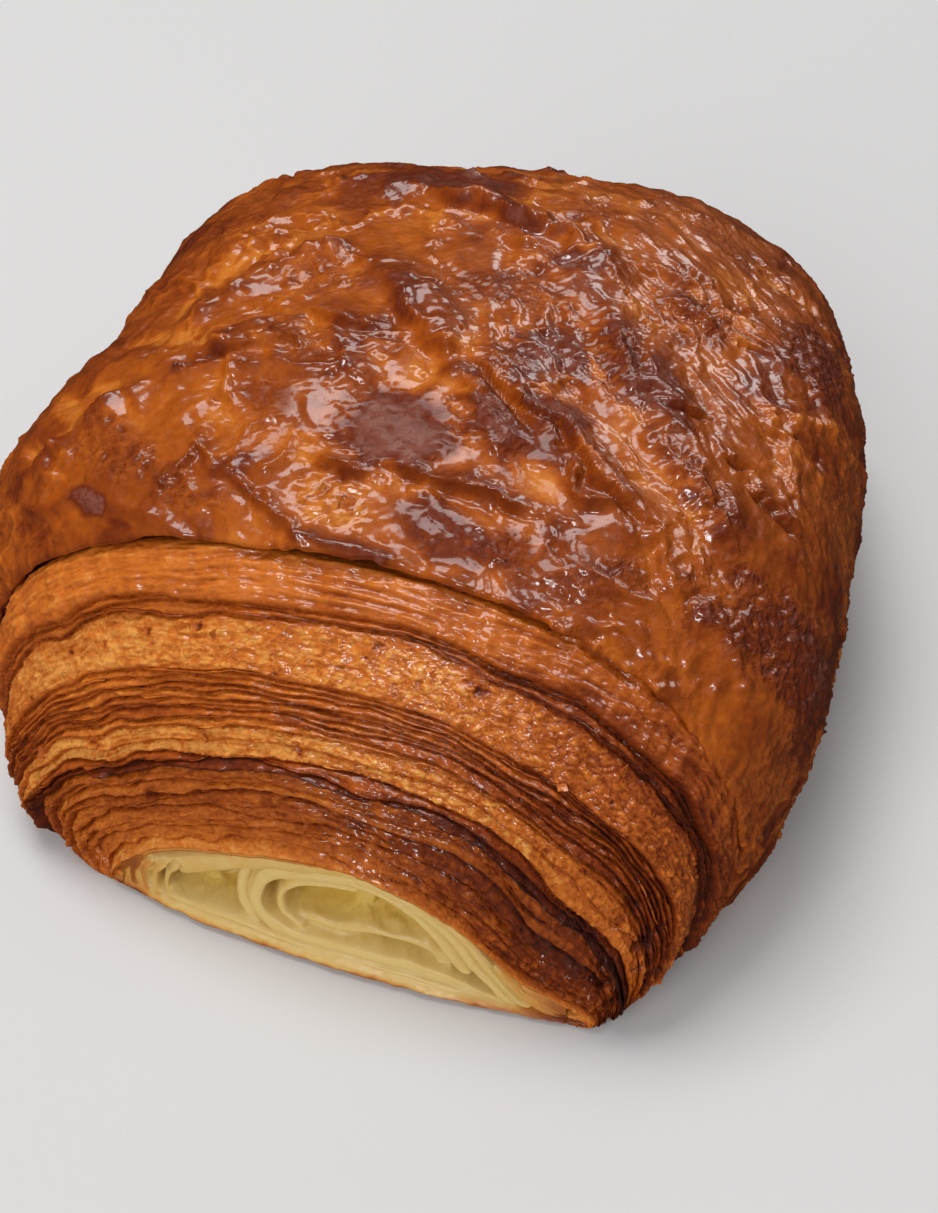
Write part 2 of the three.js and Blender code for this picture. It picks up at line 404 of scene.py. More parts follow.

# Folds: points as (share across, mm along), height, width on the left, width on the right,
# depth of the groove at the right foot (which also sets the painted shade there), and how much darker the
# crest bakes
crustFolds = [
    ([(0.488, -4.0), (0.497, -7.0), (0.503, -9.8), (0.512, -11.3), (0.518, -11.4)], 1.2, 2.8, 0.8, 0.4, 0.0),
    ([(0.518, -11.4), (0.527, -13.3), (0.535, -14.8), (0.545, -16.7), (0.555, -17.4), (0.567, -18.1),
      (0.575, -20.1), (0.585, -21.9), (0.595, -23.4), (0.61, -24.4), (0.622, -24.9)],
     0.8, 2.2, 0.45, 1.0, 0.0),
    ([(0.512, -13.4), (0.525, -16.4), (0.538, -20.2), (0.548, -23.1)], 1.1, 1.8, 2.4, 0.0, 0.1),
    ([(0.487, 16.7), (0.498, 14.9), (0.508, 13.6), (0.523, 11.9), (0.543, 10.3), (0.557, 8.8)],
     1.4, 2.0, 0.9, 0.9, 0.1),
    ([(0.515, 9.0), (0.527, 7.6), (0.54, 7.5), (0.558, 8.0)], 0.6, 0.5, 0.6, 0.3, -0.1),
    ([(0.455, 17.2), (0.467, 17.6), (0.482, 16.9)], 0.7, 2.5, 1.4, 0.3, 0.05),
    ([(0.608, -14.1), (0.625, -17.2), (0.647, -20.4), (0.67, -23.2)], 0.95, 1.9, 1.5, 0.4, 0.0),
    ([(0.575, -2.3), (0.585, -7.0), (0.6, -12.1)], 0.9, 2.2, 1.5, 0.5, 0.1),
    ([(0.563, -7.3), (0.573, -11.1), (0.595, -14.3), (0.61, -15.8)], 0.5, 0.7, 1.2, 0.3, -0.25),
    ([(0.602, 4.6), (0.617, 3.5), (0.632, 2.7)], 0.3, 1.5, 0.35, 0.5, 0.0),
    ([(0.598, 5.8), (0.62, 4.0), (0.647, 3.8)], 0.8, 2.6, 2.2, 0.2, 0.05),
    ([(0.61, -11.3), (0.618, -11.8), (0.633, -11.3), (0.64, -10.6)], 0.4, 1.0, 0.35, 0.9, 0.1),
    ([(0.657, -14.8), (0.673, -14.4)], 0.4, 1.0, 0.35, 0.9, 0.1),
    ([(0.675, -16.7), (0.695, -17.1), (0.718, -17.2)], 0.6, 1.5, 0.4, 0.9, 0.1),
    ([(0.572, -19.4), (0.578, -22.2), (0.583, -24.7), (0.592, -25.0), (0.603, -25.0)],
     0.6, 0.5, 0.6, 0.3, 0.0),
    ([(0.62, -25.7), (0.637, -27.4), (0.652, -29.7)], 0.6, 1.6, 0.8, 0.4, 0.0),
    ([(0.502, -26.2), (0.512, -26.5), (0.522, -26.7), (0.542, -26.9), (0.565, -27.4)],
     0.9, 1.7, 0.6, 0.7, 0.25),
    ([(0.372, -6.6), (0.387, -3.6), (0.403, -1.5), (0.435, 2.2), (0.463, 3.8)], 1.0, 2.4, 2.0, 0.3, 0.1),
    ([(0.35, -6.8), (0.36, 0.2), (0.38, 1.5), (0.403, 4.1), (0.443, 4.3)], -0.6, 1.3, 1.3, 0.0, -0.14),
    ([(0.40, -12.6), (0.41, -12.8), (0.432, -13.3), (0.452, -12.9), (0.462, -12.2)], 0.9, 2.8, 0.5, 0.7, 0.0),
    ([(0.453, -7.1), (0.467, -8.8), (0.48, -9.5), (0.492, -9.9)], 0.7, 2.6, 0.5, 0.5, 0.0),
    ([(0.413, -11.1), (0.435, -9.5), (0.455, -8.3)], 0.6, 1.6, 1.6, 0.0, 0.05),
    ([(0.367, -8.0), (0.39, -9.8), (0.41, -12.9)], -0.7, 0.9, 1.1, 0.0, -0.12),
    ([(0.397, -14.9), (0.399, -15.3)], 0.8, 1.5, 1.5, 0.0, 0.1),
    ([(0.42, -24.7), (0.415, -27.0), (0.408, -28.5), (0.4, -30.3), (0.397, -32.0)], 0.5, 0.5, 1.8, 0.0, 0.05),
    ([(0.435, -28.7), (0.448, -30.7), (0.458, -31.7), (0.468, -33.0), (0.472, -34.3)],
     0.6, 0.45, 0.5, 0.25, -0.05),
    ([(0.477, -26.4), (0.487, -27.2), (0.497, -27.9)], 0.8, 1.2, 0.5, 0.5, 0.3),
    ([(0.425, -14.4), (0.427, -18.1), (0.433, -21.2)], 0.6, 1.8, 0.6, 0.3, -0.2),
    ([(0.427, -16.1), (0.455, -15.9), (0.483, -15.3)], 0.5, 0.5, 1.2, 0.2, 0.0),
    ([(0.288, -25.0), (0.327, -21.6), (0.357, -18.9), (0.382, -17.1)], 0.8, 1.0, 2.2, 0.0, 0.05),
    ([(0.275, -30.2), (0.322, -30.5), (0.363, -28.7), (0.395, -26.0)], 0.5, 1.5, 1.5, 0.0, 0.05),
    ([(0.32, -7.2), (0.345, -7.6), (0.367, -8.0)], -1.0, 1.0, 1.0, 0.0, -0.06),
    ([(0.30, -14.3), (0.33, -15.1), (0.357, -16.4)], -0.9, 0.9, 0.9, 0.0, -0.08),
    ([(0.27, -21.0), (0.30, -21.2), (0.332, -21.2)], -0.8, 0.9, 0.9, 0.0, -0.1),
    ([(0.44, -26.0), (0.448, -23.5), (0.46, -21.9)], 0.45, 0.4, 0.7, 0.15, -0.2),
    ([(0.453, -28.9), (0.463, -26.7), (0.467, -23.9)], 0.4, 0.4, 0.7, 0.15, -0.2),
    ([(0.558, 8.1), (0.57, 6.0), (0.583, 2.5)], 0.6, 1.0, 1.0, 0.3, 0.0),
    ([(0.578, 9.8), (0.6, 10.4), (0.625, 9.6)], 0.5, 1.6, 0.8, 0.4, 0.0),
    ([(0.658, -29.4), (0.692, -30.2), (0.725, -32.7)], 0.6, 1.6, 1.0, 0.2, 0.0),
    ([(0.466, -33.8), (0.48, -34.2), (0.495, -34.4), (0.512, -34.6)], 0.9, 1.3, 1.3, 0.0, 0.35),
    ([(0.52, -35.3), (0.54, -35.9), (0.56, -36.4), (0.58, -36.9)], 0.5, 1.2, 1.2, 0.0, 0.2),
]

# Patches: middle as (share, mm along), the way the long side points, half length, half width,
# bake, roughness, height, crackle, grain
crustPatches = [
    ((0.503, -21.7), (0.525, -21.7), 6.4, 4.6, 0.98, 0.9, 0.5, 0.0, 0.9),
    ((0.557, -19.7), (0.578, -20.4), 4.6, 5.6, 0.78, 0.5, 0.2, 0.0, 0.4),
    ((0.533, -18.1), (0.545, -21.6), 4.8, 2.1, 0.78, 0.9, 0.3, 0.6, 0.6),
    ((0.555, -8.8), (0.573, -10.6), 4.6, 5.2, 0.88, 0.0, 0.3, 0.0, 0.0),
    ((0.537, -11.4), (0.548, -11.6), 2.8, 2.0, 0.55, 1.0, 0.4, 0.8, 0.3),
    ((0.585, -7.0), (0.598, -11.8), 5.5, 2.8, 0.74, 1.0, 0.4, 1.0, 0.4),
    ((0.637, -19.6), (0.668, -23.4), 7.6, 2.5, 0.55, 0.8, 0.2, 1.0, 0.1),
    ((0.62, 4.6), (0.647, 3.8), 5.2, 5.0, 0.62, 0.9, 0.3, 0.8, 0.2),
    ((0.53, -31.3), (0.555, -32.5), 5.8, 3.0, 0.84, 0.4, 0.2, 0.0, 0.3),
    ((0.56, -31.5), (0.573, -32.8), 3.2, 2.2, 0.70, 1.0, 0.2, 0.5, 0.9),
    ((0.597, -31.8), (0.618, -33.7), 4.6, 3.0, 0.60, 0.3, 0.3, 0.0, 0.25),
    ((0.485, -30.2), (0.498, -31.2), 4.2, 2.6, 0.32, 0.9, 0.4, 1.0, 0.2),
    ((0.448, -0.7), (0.472, -3.3), 6.0, 3.4, 0.50, 1.0, 0.3, 0.8, 0.3),
    ((0.45, -10.4), (0.467, -12.6), 4.6, 2.6, 0.50, 0.8, 0.2, 0.8, 0.2),
    ((0.45, -19.9), (0.46, -21.6), 3.0, 2.4, 0.60, 0.8, 0.2, 0.2, 0.9),
    ((0.365, -25.2), (0.4, -29.4), 8.0, 3.2, 0.56, 0.9, 0.3, 0.9, 0.5),
    ((0.408, -30.2), (0.418, -32.2), 3.2, 2.0, 0.58, 0.9, 0.2, 0.9, 0.4),
    ((0.348, -31.2), (0.36, -32.5), 2.5, 1.4, 0.92, 0.8, 0.2, 0.0, 0.9),
    ((0.713, 9.6), (0.75, 8.5), 5.4, 8.0, 0.80, 0.9, 0.3, 1.0, 0.3),
    ((0.765, -26.7), (0.862, -24.7), 12.0, 4.5, 0.78, 0.9, 0.3, 1.0, 0.3),
    ((0.528, -0.5), (0.553, -0.3), 5.9, 3.0, 0.66, 0.9, 0.2, 0.7, 0.4),
    ((0.62, -29.8), (0.633, -30.2), 2.4, 1.5, 0.66, 1.0, 0.3, 0.8, 0.5),
    ((0.438, -23.7), (0.462, -24.5), 5.3, 3.0, 0.34, 0.3, -0.3, 0.2, 0.4),
    ((0.563, -24.4), (0.577, -25.4), 3.0, 1.9, 0.30, 0.3, -0.3, 0.0, 0.6),
    ((0.472, -25.4), (0.488, -25.9), 4.3, 1.8, 0.32, 0.4, -0.2, 0.2, 0.4),
    ((0.31, -16.6), (0.335, -21.4), 5.9, 1.5, 0.28, 0.1, -0.3, 0.0, 0.1),
    ((0.397, 6.3), (0.445, 3.0), 9.8, 4.0, 0.36, 0.0, 0.5, 0.0, 0.0),
    ((0.523, -16.2), (0.535, -17.0), 2.6, 1.2, 0.25, 0.2, -0.1, 0.0, 0.4),
]

# A line of small bubbles where the crust has opened on the right
bubbleLine = {
    "points": [(0.67, -6.0), (0.697, -3.8), (0.743, 1.0)],
    "width": 1.3,
    "height": 0.7,
    "bake": 0.25,
}

# Where the skin is drawn smooth: place as (share, mm along) and how far it reaches
calmPlaces = [((0.69, -24.0), 11.0), ((0.64, 27.0), 13.0), ((0.30, 20.0), 9.0)]

mirrorFrom = -19.0     # folds nearer than this are turned half round, for the far side


def turnedRound(points):
    return [(1.0 - share, -y) for share, y in points]


def distanceToLine(x, y, start, end):
    dx, dy = end[0] - start[0], end[1] - start[1]
    t = limited(((x - start[0]) * dx + (y - start[1]) * dy) / (dx * dx + dy * dy))
    return np.hypot(x - start[0] - t * dx, y - start[1] - t * dy)


def broadRelief(p):
    x, y = p[..., 0], p[..., 1]
    relief = 0.7 * np.sin(x / 9.0 + 1.3) * np.cos(y / 11.0 - x / 23.0)
    for start, end, height, spread in broadFolds:
        relief = relief + crust["broadFold"] * height * bump(distanceToLine(x, y, start, end), spread)
    for side, onSide in (("left", smoothStep(-x, 26.0, 40.0)), ("right", smoothStep(x, 30.0, 42.0))):
        for place, height, spread in flankBulges[side]:
            relief = relief + onSide * height * bump(y - place, spread)
    return relief


def lipFullnessAt(share, end):
    wander = layeredNoise(stacked(share * 9.0, 3.1 * end), 1.0, 41)
    drop = crust["lipDrop"] * smoothStep(share, 0.55, 0.8)
    return crust["lipFullness"] - drop + crust["lipWander"] * wander


def stretched(p, length, width, turn):
    direction = np.array([math.cos(math.radians(turn)), math.sin(math.radians(turn)), 0.0])
    alongPart = (p @ direction)[..., None] * direction
    return (p - alongPart) / width + alongPart / length


# What every part of the crust's relief and colour starts from
def startSkin():
    share = np.linspace(0.0, 1.0, crust["columns"])
    t = np.linspace(0.0, 1.0, crust["rows"])[:, None]
    near, far = (end * alongAt(lipFullnessAt(share, end)) for end in (-1, 1))
    skin = SimpleNamespace(along=near[None, :] * (1.0 - t) + far[None, :] * t)
    skin.shares = np.broadcast_to(share, skin.along.shape)
    skin.base = base = smoothLoaf(skin.shares, skin.along)
    skin.warp = warp = shake(base, 7.0, 5, 6, 7)
    skin.fine = shake(base, 2.1, 8, 9, 10)
    skin.loose = base + 2.4 * warp + 0.9 * skin.fine
    skin.onFlank = 1.0 - smoothStep(np.minimum(skin.shares, 1.0 - skin.shares), 0.2, 0.3)
    skin.toRight = smoothStep(skin.shares + 0.05 * warp[..., 0], 0.42, 0.54)
    skin.wrinkle = layeredNoise(stretched(base + 2.5 * warp, 4.5, 1.9, -34.0), 1.0, 31, 4, 0.55, "ridge")
    skin.crumple = smoothStep(layeredNoise(base + 3.0 * warp, 8.0, 33, 3), -0.05, 0.20)
    skin.blotch = layeredNoise(base + 2.0 * warp, 10.0, 61, 5, 0.58)
    skin.broad, skin.film = ripples(skin, "broad"), ripples(skin, "film")
    dull = smoothStep(layeredNoise(base, 9.0, 51, 2) + 0.4 * skin.onFlank, 0.05, 0.3)
    skin.rough = 0.75 * dull * (0.3 + 0.7 * skin.onFlank)
    skin.crackle = 0.8 * skin.rough
    skin.grain = 0.1 + 0.2 * dull
    skin.matt = np.zeros(skin.along.shape)
    return skin


# One pattern, laid one way on the left of the crest and another way on its right
def ripples(skin, name, pattern=facets, **settings):
    sides = [pattern(stretched(skin.loose, length, width, turn), 1.0, seed, **settings)
             for length, width, turn, seed in crust["ripples"][name]]
    return lerp(*sides, skin.toRight)


def broadSkin(skin):
    turned = stretched(skin.base + 3.5 * skin.warp, crust["wrinkleLength"], crust["wrinkleWidth"],
                       crust["wrinkleTurn"])
    swell = layeredNoise(turned, 1.3, 11, 2, 0.45, "billow")
    drape = layeredNoise((skin.base + 2.5 * skin.warp) * (0.5, 1.0, 0.28), 4.0, 15, 3, 0.5, "ridge")
    skin.relief = broadRelief(skin.base) + crust["swell"] * swell * (1.0 - 0.5 * skin.onFlank)
    skin.relief = skin.relief + 0.5 * drape * skin.onFlank
    skin.bake = 0.46 + 0.44 * skin.blotch + 0.14 * smoothStep(skin.blotch, 0.10, 0.22)


def foldSkin(skin):
    p = skin.base + 0.5 * skin.warp + 0.22 * skin.fine
    shaken = 1.3 * (skin.broad - 0.3) + 0.6 * (skin.film - 0.3)
    fading = 0.8 + 0.5 * layeredNoise(p, 3.0, 71, 2)
    mirrored = [(turnedRound(points), 0.7 * height, *rest) for points, height, *rest in crustFolds
                if max(spot[1] for spot in points) < mirrorFrom]
    for points, height, left, right, groove, dark in crustFolds + mirrored:
        side, place = besideCurve(p, points, 3.0 * max(left, right) + 1.0)
        side = side + shaken
        ends = (0.25 + 0.75 * within(place, (-0.02, 0.16, 0.84, 1.02))) * fading
        crest = np.exp(-np.abs(side / np.where(side > 0.0, left, right)) ** 1.15)
        foot = bump(side + 1.7 * right, 0.7 * right + 0.15)
        skin.relief = skin.relief + ends * (crust["foldLift"] * height * crest - groove * foot)
        edgeGold = 0.22 * (groove > 0.25) * bump(side - 0.15, 0.38)
        # painted shade: the fold's foot is coloured darker where its groove lies; the crest's own darkening
        # is baked colour
        crestBakeAndFootShade = dark * bump(side, 0.8 * max(left, right)) + 0.30 * min(groove, 0.9) * foot
        skin.bake = skin.bake + ends * (crestBakeAndFootShade - edgeGold)


def patchSkin(skin):
    mirrored = [(*turnedRound([middle, toward]), halfLong, halfShort, 0.85 * dark, 0.8 * rough, 0.5 * height,
                 0.5 * crackled, 0.4 * grained)
                for (middle, toward, halfLong, halfShort,
                     dark, rough, height, crackled, grained) in crustPatches
                if middle[1] < mirrorFrom]
    ragged = 0.95 * layeredNoise(skin.base, 4.2, 81, 5, 0.62)
    speckled = layeredNoise(skin.base, 0.9, 86, 2)
    for (middle, toward, halfLong, halfShort,
         dark, rough, height, crackled, grained) in crustPatches + mirrored:
        centre, normal = onLoaf(*middle)
        ahead = unit(onLoaf(*toward)[0] - centre)
        sides = zip((ahead, np.cross(normal, ahead), normal), (halfLong, halfShort, 9.0))
        reach = np.sqrt(sum(((skin.base - centre) @ way / half) ** 2 for way, half in sides))
        near = 1.0 - smoothStep(reach + ragged, 0.62, 1.22)
        spotted = limited(near * (1.0 + 0.9 * speckled))
        skin.relief = skin.relief + height * (1.0 - smoothStep(reach, 0.2, 1.2))
        skin.bake = lerp(skin.bake, dark + 0.3 * (skin.bake - 0.5), spotted)
        skin.rough = lerp(skin.rough, rough, near)
        skin.crackle = lerp(skin.crackle, crackled, near)
        skin.grain = lerp(skin.grain, grained, near)
        skin.matt = lerp(skin.matt, grained, near)
    local = skin.relief - blurGrid(skin.relief, 10.0)
    skin.bake = skin.bake + 0.16 * np.clip(local / 0.6, -1.0, 1.0) - 0.10 * smoothStep(-local, 0.25, 0.8)
    # painted shade: the right flank, turned away from the light, is coloured darker
    skin.bake = skin.bake + 0.10 * within(skin.shares, (0.68, 0.8, 0.9, 1.0))


# Crackle in the patches, and the skin's creased film and pleats
def creaseSkin(skin):
    base, fine, crumple = skin.base, skin.fine, skin.crumple
    nearest, second = cellNoise(base + 0.9 * fine, 1.75, 91)[:2]
    cells = smoothStep(second - nearest, 0.02, 0.34)
    creases = layeredNoise(stretched(base + 0.8 * fine, 2.6, 1.0, 60.0), 1.0, 95, 2, 0.5, "ridge")
    crumpled = facets(stretched(base + 1.1 * fine, 1.5, 1.0, 40.0), 1.45, 93)
    crumpledFine = facets(base + 0.5 * fine, 0.80, 94)
    micro = skin.crackle * (0.10 * (cells - 0.7 + creases) - 0.42 * crumpled - 0.17 * crumpledFine)
    onTop = bump(skin.shares - 0.53, 0.20) * bump(base[..., 1] + 6.0, 30.0)
    taut = (0.55 + 0.45 * onTop) * (1.0 - 0.8 * skin.matt)
    for middle, reach in calmPlaces:
        away = np.linalg.norm(base + 2.0 * skin.warp - onLoaf(*middle)[0], axis=-1)
        taut = taut * (1.0 - 0.65 * bump(away, reach))
    pleats = ripples(skin, "pleats", layeredNoise, octaves=2, gain=0.4, kind="ridge")
    filmFine = facets(stretched(base + 1.0 * skin.warp + 0.7 * fine, 2.2, 1.1, -52.0), 1.0, 98)
    filmFine = filmFine * (0.30 + 0.70 * crumple) * taut * (1.0 - 0.5 * skin.crackle)
    broad = (skin.broad - 0.25) * (0.30 + 0.70 * crumple) * taut
    film = (skin.film - 0.25) * (0.20 + 0.80 * crumple) * taut
    micro = micro - crust["broad"] * broad - crust["film"] * film - crust["filmFine"] * filmFine
    crinkle = layeredNoise(base + 1.2 * fine, 1.5, 35, 2, 0.6, "ridge")
    wrinkled = skin.wrinkle * (0.25 + 0.75 * crumple) * (0.6 + 0.6 * skin.onFlank) * (1.0 - skin.matt)
    micro = micro + crust["wrinkle"] * wrinkled + 0.14 * skin.grain * layeredNoise(base, 1.2, 97, 2)
    micro = micro + 0.10 * crinkle * (0.3 + 0.7 * smoothStep(skin.blotch, -0.2, 0.2))
    skin.relief = skin.relief + micro + crust["pleat"] * pleats * taut
    skin.bake = skin.bake + 0.14 * np.clip(pleats, -0.6, 0.6) * taut
    bubbleSkin(skin)
    skin.bake = skin.bake + skin.crackle * (0.12 * (cells - 0.7) + 0.30 * (crumpled - 0.35))
    skin.bake = skin.bake + 0.09 * layeredNoise(base, 2.2, 63, 4, 0.6)
    flankFlakes(skin)
    edges = 0.24 * bump(skin.broad, 0.07) + 0.13 * bump(skin.film, 0.07)
    skin.bake = skin.bake + 0.10 * np.clip(skin.wrinkle, -0.6, 0.6) * crumple
    skin.bake = skin.bake + 0.18 * (film + filmFine - 0.15)
    skin.bake = skin.bake + 0.24 * (broad - 0.05) * (1.0 - skin.matt) - edges * (0.2 + 0.8 * crumple) * taut
    skin.bake = skin.bake + 0.13 * layeredNoise(base, 3.6, 65, 4, 0.6)


def bubbleSkin(skin):
    p = skin.base + 0.5 * skin.warp + 0.22 * skin.fine
    side, place = besideCurve(p, bubbleLine["points"], 6.0)
    onLine = bump(side, bubbleLine["width"]) * within(place, (0.0, 0.1, 0.9, 1.0))
    bubbles = np.sqrt(np.maximum(1.0 - (cellNoise(skin.base, 1.5, 99)[0] / 0.62) ** 2, 0.0))
    skin.relief = skin.relief + bubbleLine["height"] * onLine * bubbles
    skin.bake = lerp(skin.bake, bubbleLine["bake"] + 0.2 * (1.0 - bubbles), onLine)


# Thin skins that lift off the flanks, with paler edges
flakes = {
    "length": 13.0,
    "width": 2.8,
    "lift": 0.55,
    "right": (0.79, 0.86),
    "left": (0.12, 0.20),
    "bake": 0.92,
    "edgeBake": 0.22,
}


def flankFlakes(skin):
    base = skin.base
    x, y, z = np.moveaxis(base + 1.4 * shake(base, 3.1, 141, 142, 143), -1, 0)
    slanted = stacked(x / flakes["width"], (y + 0.9 * z) / flakes["length"], (z - 0.35 * y) / flakes["width"])
    nearest, second, own = cellNoise(slanted, 1.0, 145)
    onLeft = 0.7 * (1.0 - smoothStep(skin.shares, *flakes["left"]))
    shown = layeredNoise(base, 9.0, 147, 3) - 0.02 + 0.35 * bump(base[..., 1] + 18.0, 20.0)
    onFlake = np.maximum(smoothStep(skin.shares, *flakes["right"]), onLeft) * smoothStep(shown, 0.0, 0.2)
    border = second - nearest + 0.10 * layeredNoise(base, 1.6, 151, 3)
    edge = bump(border, 0.06) * smoothStep(layeredNoise(base, 4.0, 153, 2), -0.15, 0.15)
    loose = onFlake * smoothStep(own + 0.35 * layeredNoise(base, 5.0, 155, 3), 0.42, 0.62) * (1.0 - edge)
    skin.relief = skin.relief + onFlake * (flakes["lift"] * (own - 0.5) + 0.35 * edge)
    skin.bake = lerp(skin.bake, flakes["bake"] + 0.12 * layeredNoise(base, 1.2, 149, 3), 0.75 * loose)
    skin.bake = lerp(skin.bake, flakes["edgeBake"], 0.7 * edge * onFlake)
    skin.matt = np.maximum(skin.matt, 0.8 * loose)


# Rows that roll the crust's edge in and under
def rollLip(surface, outward, row, step):
    edge = surface[row]
    ahead = unit(edge - surface[row + 2 * step])
    down = unit(np.cross(ahead, np.gradient(edge, axis=0)) * step)
    down = np.where(np.sum(down * outward[row], axis=-1, keepdims=True) > 0.0, -down, down)
    rows = []
    for angle in np.radians(np.linspace(0.0, crust["lipTurn"], crust["lipRows"] + 1)[1:]):
        rows.append(edge + crust["lipRadius"] * (ahead * math.sin(angle) + down * (1.0 - math.cos(angle))))
    return rows + [rows[-1] - ahead * 1.6 + down * 2.8]


def buildCrust(material):
    skin = startSkin()
    broadSkin(skin)
    foldSkin(skin)
    patchSkin(skin)
    creaseSkin(skin)
    pale = crust["paleBake"] + 0.08 * (1.0 - smoothStep(skin.shares, 0.34, 0.46))
    fields = {"bake": lerp(pale, 1.0, limited(skin.bake)), "rough": skin.rough, "matt": 0.95 * skin.matt}
    outward = smoothNormal(skin.shares, skin.along)
    relief = np.maximum(skin.relief, lerp(-crust["lowest"], skin.relief, 0.35))
    foot = smoothStep(np.minimum(skin.shares, 1.0 - skin.shares), 0.0, 0.04)
    surface = skin.base + outward * (relief * foot)[..., None]
    nearRoll, farRoll = rollLip(surface, outward, 0, 1), rollLip(surface, outward, -1, -1)
    points = np.concatenate([nearRoll[::-1], surface, farRoll])
    extra = len(nearRoll)
    fields = changed(fields, lambda value: np.pad(limited(value), ((extra, extra), (0, 0)), mode="edge"))
    hidden = extra - crust["lipHidden"]
    # painted shade: the rows tucked under the lip are coloured dark
    fields["bake"][:hidden] = fields["bake"][-hidden:] = crust["lipHiddenBake"]
    points[..., 2] = np.maximum(points[..., 2], 0.0)
    normals = gridNormals(points)
    middle = len(points) // 2
    wall = points[middle] - outward[middle - extra] * crust["wallDepth"]
    wall[:, 2] = np.maximum(wall[:, 2], 0.0)
    thinEdge = np.array((0.0, 0.3, 0.0))
    for name, rows, backStart, backEnd in (("crustNear", slice(0, middle + 1), points[0] + thinEdge, wall),
                                           ("crustFar", slice(middle, None), wall, points[-1] - thinEdge)):
        part = changed(fields, lambda value: value[rows])
        settle(closedPatch(name, points[rows], normals[rows], part, backStart, backEnd, material))


# The layered ends
layers = {
    "rows": 300,
    "columns": 620,          # at the near end, made in two halves
    "farColumns": 310,
    "top": 0.83,             # fullness where the layers pass under the crust
    "depth": 1.4,            # how far they lie below the crust
    "underCrust": 2.2,
    "backDepth": 3.0,
    "rimRadius": 0.8,
    "rimRows": 6,
    "rimBake": 0.06,
    "lift": 1.25,
    "wander": 0.036,
    "pinch": 2.2,            # how far a layer's start strays, for the room it has
    "wayLength": 36.0,       # millimetres from the rim to the lip
    "ridgePlace": 0.37,
    "sheetStart": (0.855, 0.89),
    "seed": 7,
}

# Where the dark ridge runs: share across and the part of the way from the rim to the lip
ridgeRun = [(0.0, 0.58), (0.11, 0.55), (0.20, 0.44), (0.30, 0.36), (0.44, 0.40), (0.56, 0.38),
            (0.71, 0.29), (0.83, 0.17), (0.925, 0.06), (1.0, 0.04)]

# Bands of layers from the rim to the lip: end, count, height in mm, bake, bake of the edges, pores
layerBands = [
    (0.042, 1, 0.50, 0.30, 0.44, 0.3),
    (0.130, 2, 0.45, 0.36, 0.60, 0.5),
    (0.340, 6, 0.55, 0.42, 0.68, 0.40),
    (0.364, 1, 1.25, 0.74, 0.84, 0.1),
    (0.388, 1, 0.90, 0.52, 0.80, 0.1),
    (0.50, 2, 0.40, 0.32, 0.58, 1.0),
    (0.66, 8, 0.50, 0.43, 0.80, 0.25),
    (0.82, 1, 0.45, 0.29, 0.62, 1.0),
    (0.855, 2, 0.50, 0.42, 0.80, 0.1),
    (1.08, 1, 0.75, 0.44, 0.66, 0.0),
]

# Where the end is coloured darker or paler: how much, then the places across and the places on the way
# from the rim to the lip, as limits for within. The first three entries darken the right side and are painted
# shade; the one at the lip (way near 1) is painted shade under the crust's lip; the others are baked colour.
allOver = (-9, -8, 8, 9)
layerBakeAndShade = [
    (0.30, (0.40, 0.66, 8, 9), (0.01, 0.03, 0.2, 0.3)),
    (0.20, (0.45, 0.75, 8, 9), (0.2, 0.3, 8, 9)),
    (0.12, (0.52, 0.66, 8, 9), (0.72, 0.16)),
    (-0.12, (0.22, 0.14), (-9, -8, 0.02, 0.10)),
    (-0.04, (0.24, 0.18), (0.40, 0.5, 8, 9)),
    (0.10, (0.16, 0.34, 8, 9), (0.10, 0.2, 0.3, 0.5)),
    (-0.05, (-9, -8, 0.55, 0.80), (0.95, 0.09)),
    (0.25, allOver, (0.985, 1.02, 8, 9)),
    (0.14, (-9, -8, 0.10, 0.30), (0.30, 0.45, 8, 9)),
]


def layerTable():
    random = np.random.default_rng(layers["seed"])
    table = SimpleNamespace(starts=[0.0], heights=[], bakes=[], edges=[], pores=[])
    begin = 0.0
    for end, count, height, dark, edge, porous in layerBands:
        for k in range(count):
            shift = random.uniform(-0.3, 0.3) if k < count - 1 else 0.0
            table.starts.append(begin + (end - begin) * (k + 1 + shift) / count)
            table.heights.append(height * random.uniform(0.55, 1.4) if count > 1 else height)
            table.bakes.append(dark + (random.uniform(-0.16, 0.12) if count > 1 else 0.0))
            table.edges.append(edge + (random.uniform(-0.14, 0.12) if count > 1 else 0.0))
            table.pores.append(porous)
        begin = end
    return SimpleNamespace(**changed(vars(table), np.array))


# Where each layer starts, at every column: layers swell, thin out and pinch off across the end
def pinchedBorders(starts, across, seed):
    gaps = np.diff(starts)
    borders = [np.full(len(across), starts[0])]
    for k in range(1, len(starts)):
        room = min(gaps[k - 1], gaps[min(k, len(gaps) - 1)], 0.03)
        strayed = layers["pinch"] * room * layeredNoise(stacked(across * 11.0, 1.9 * k), 1.0, seed + 81, 3)
        borders.append(np.maximum(starts[k] + strayed, borders[-1] + 0.0015))
    return np.array(borders)


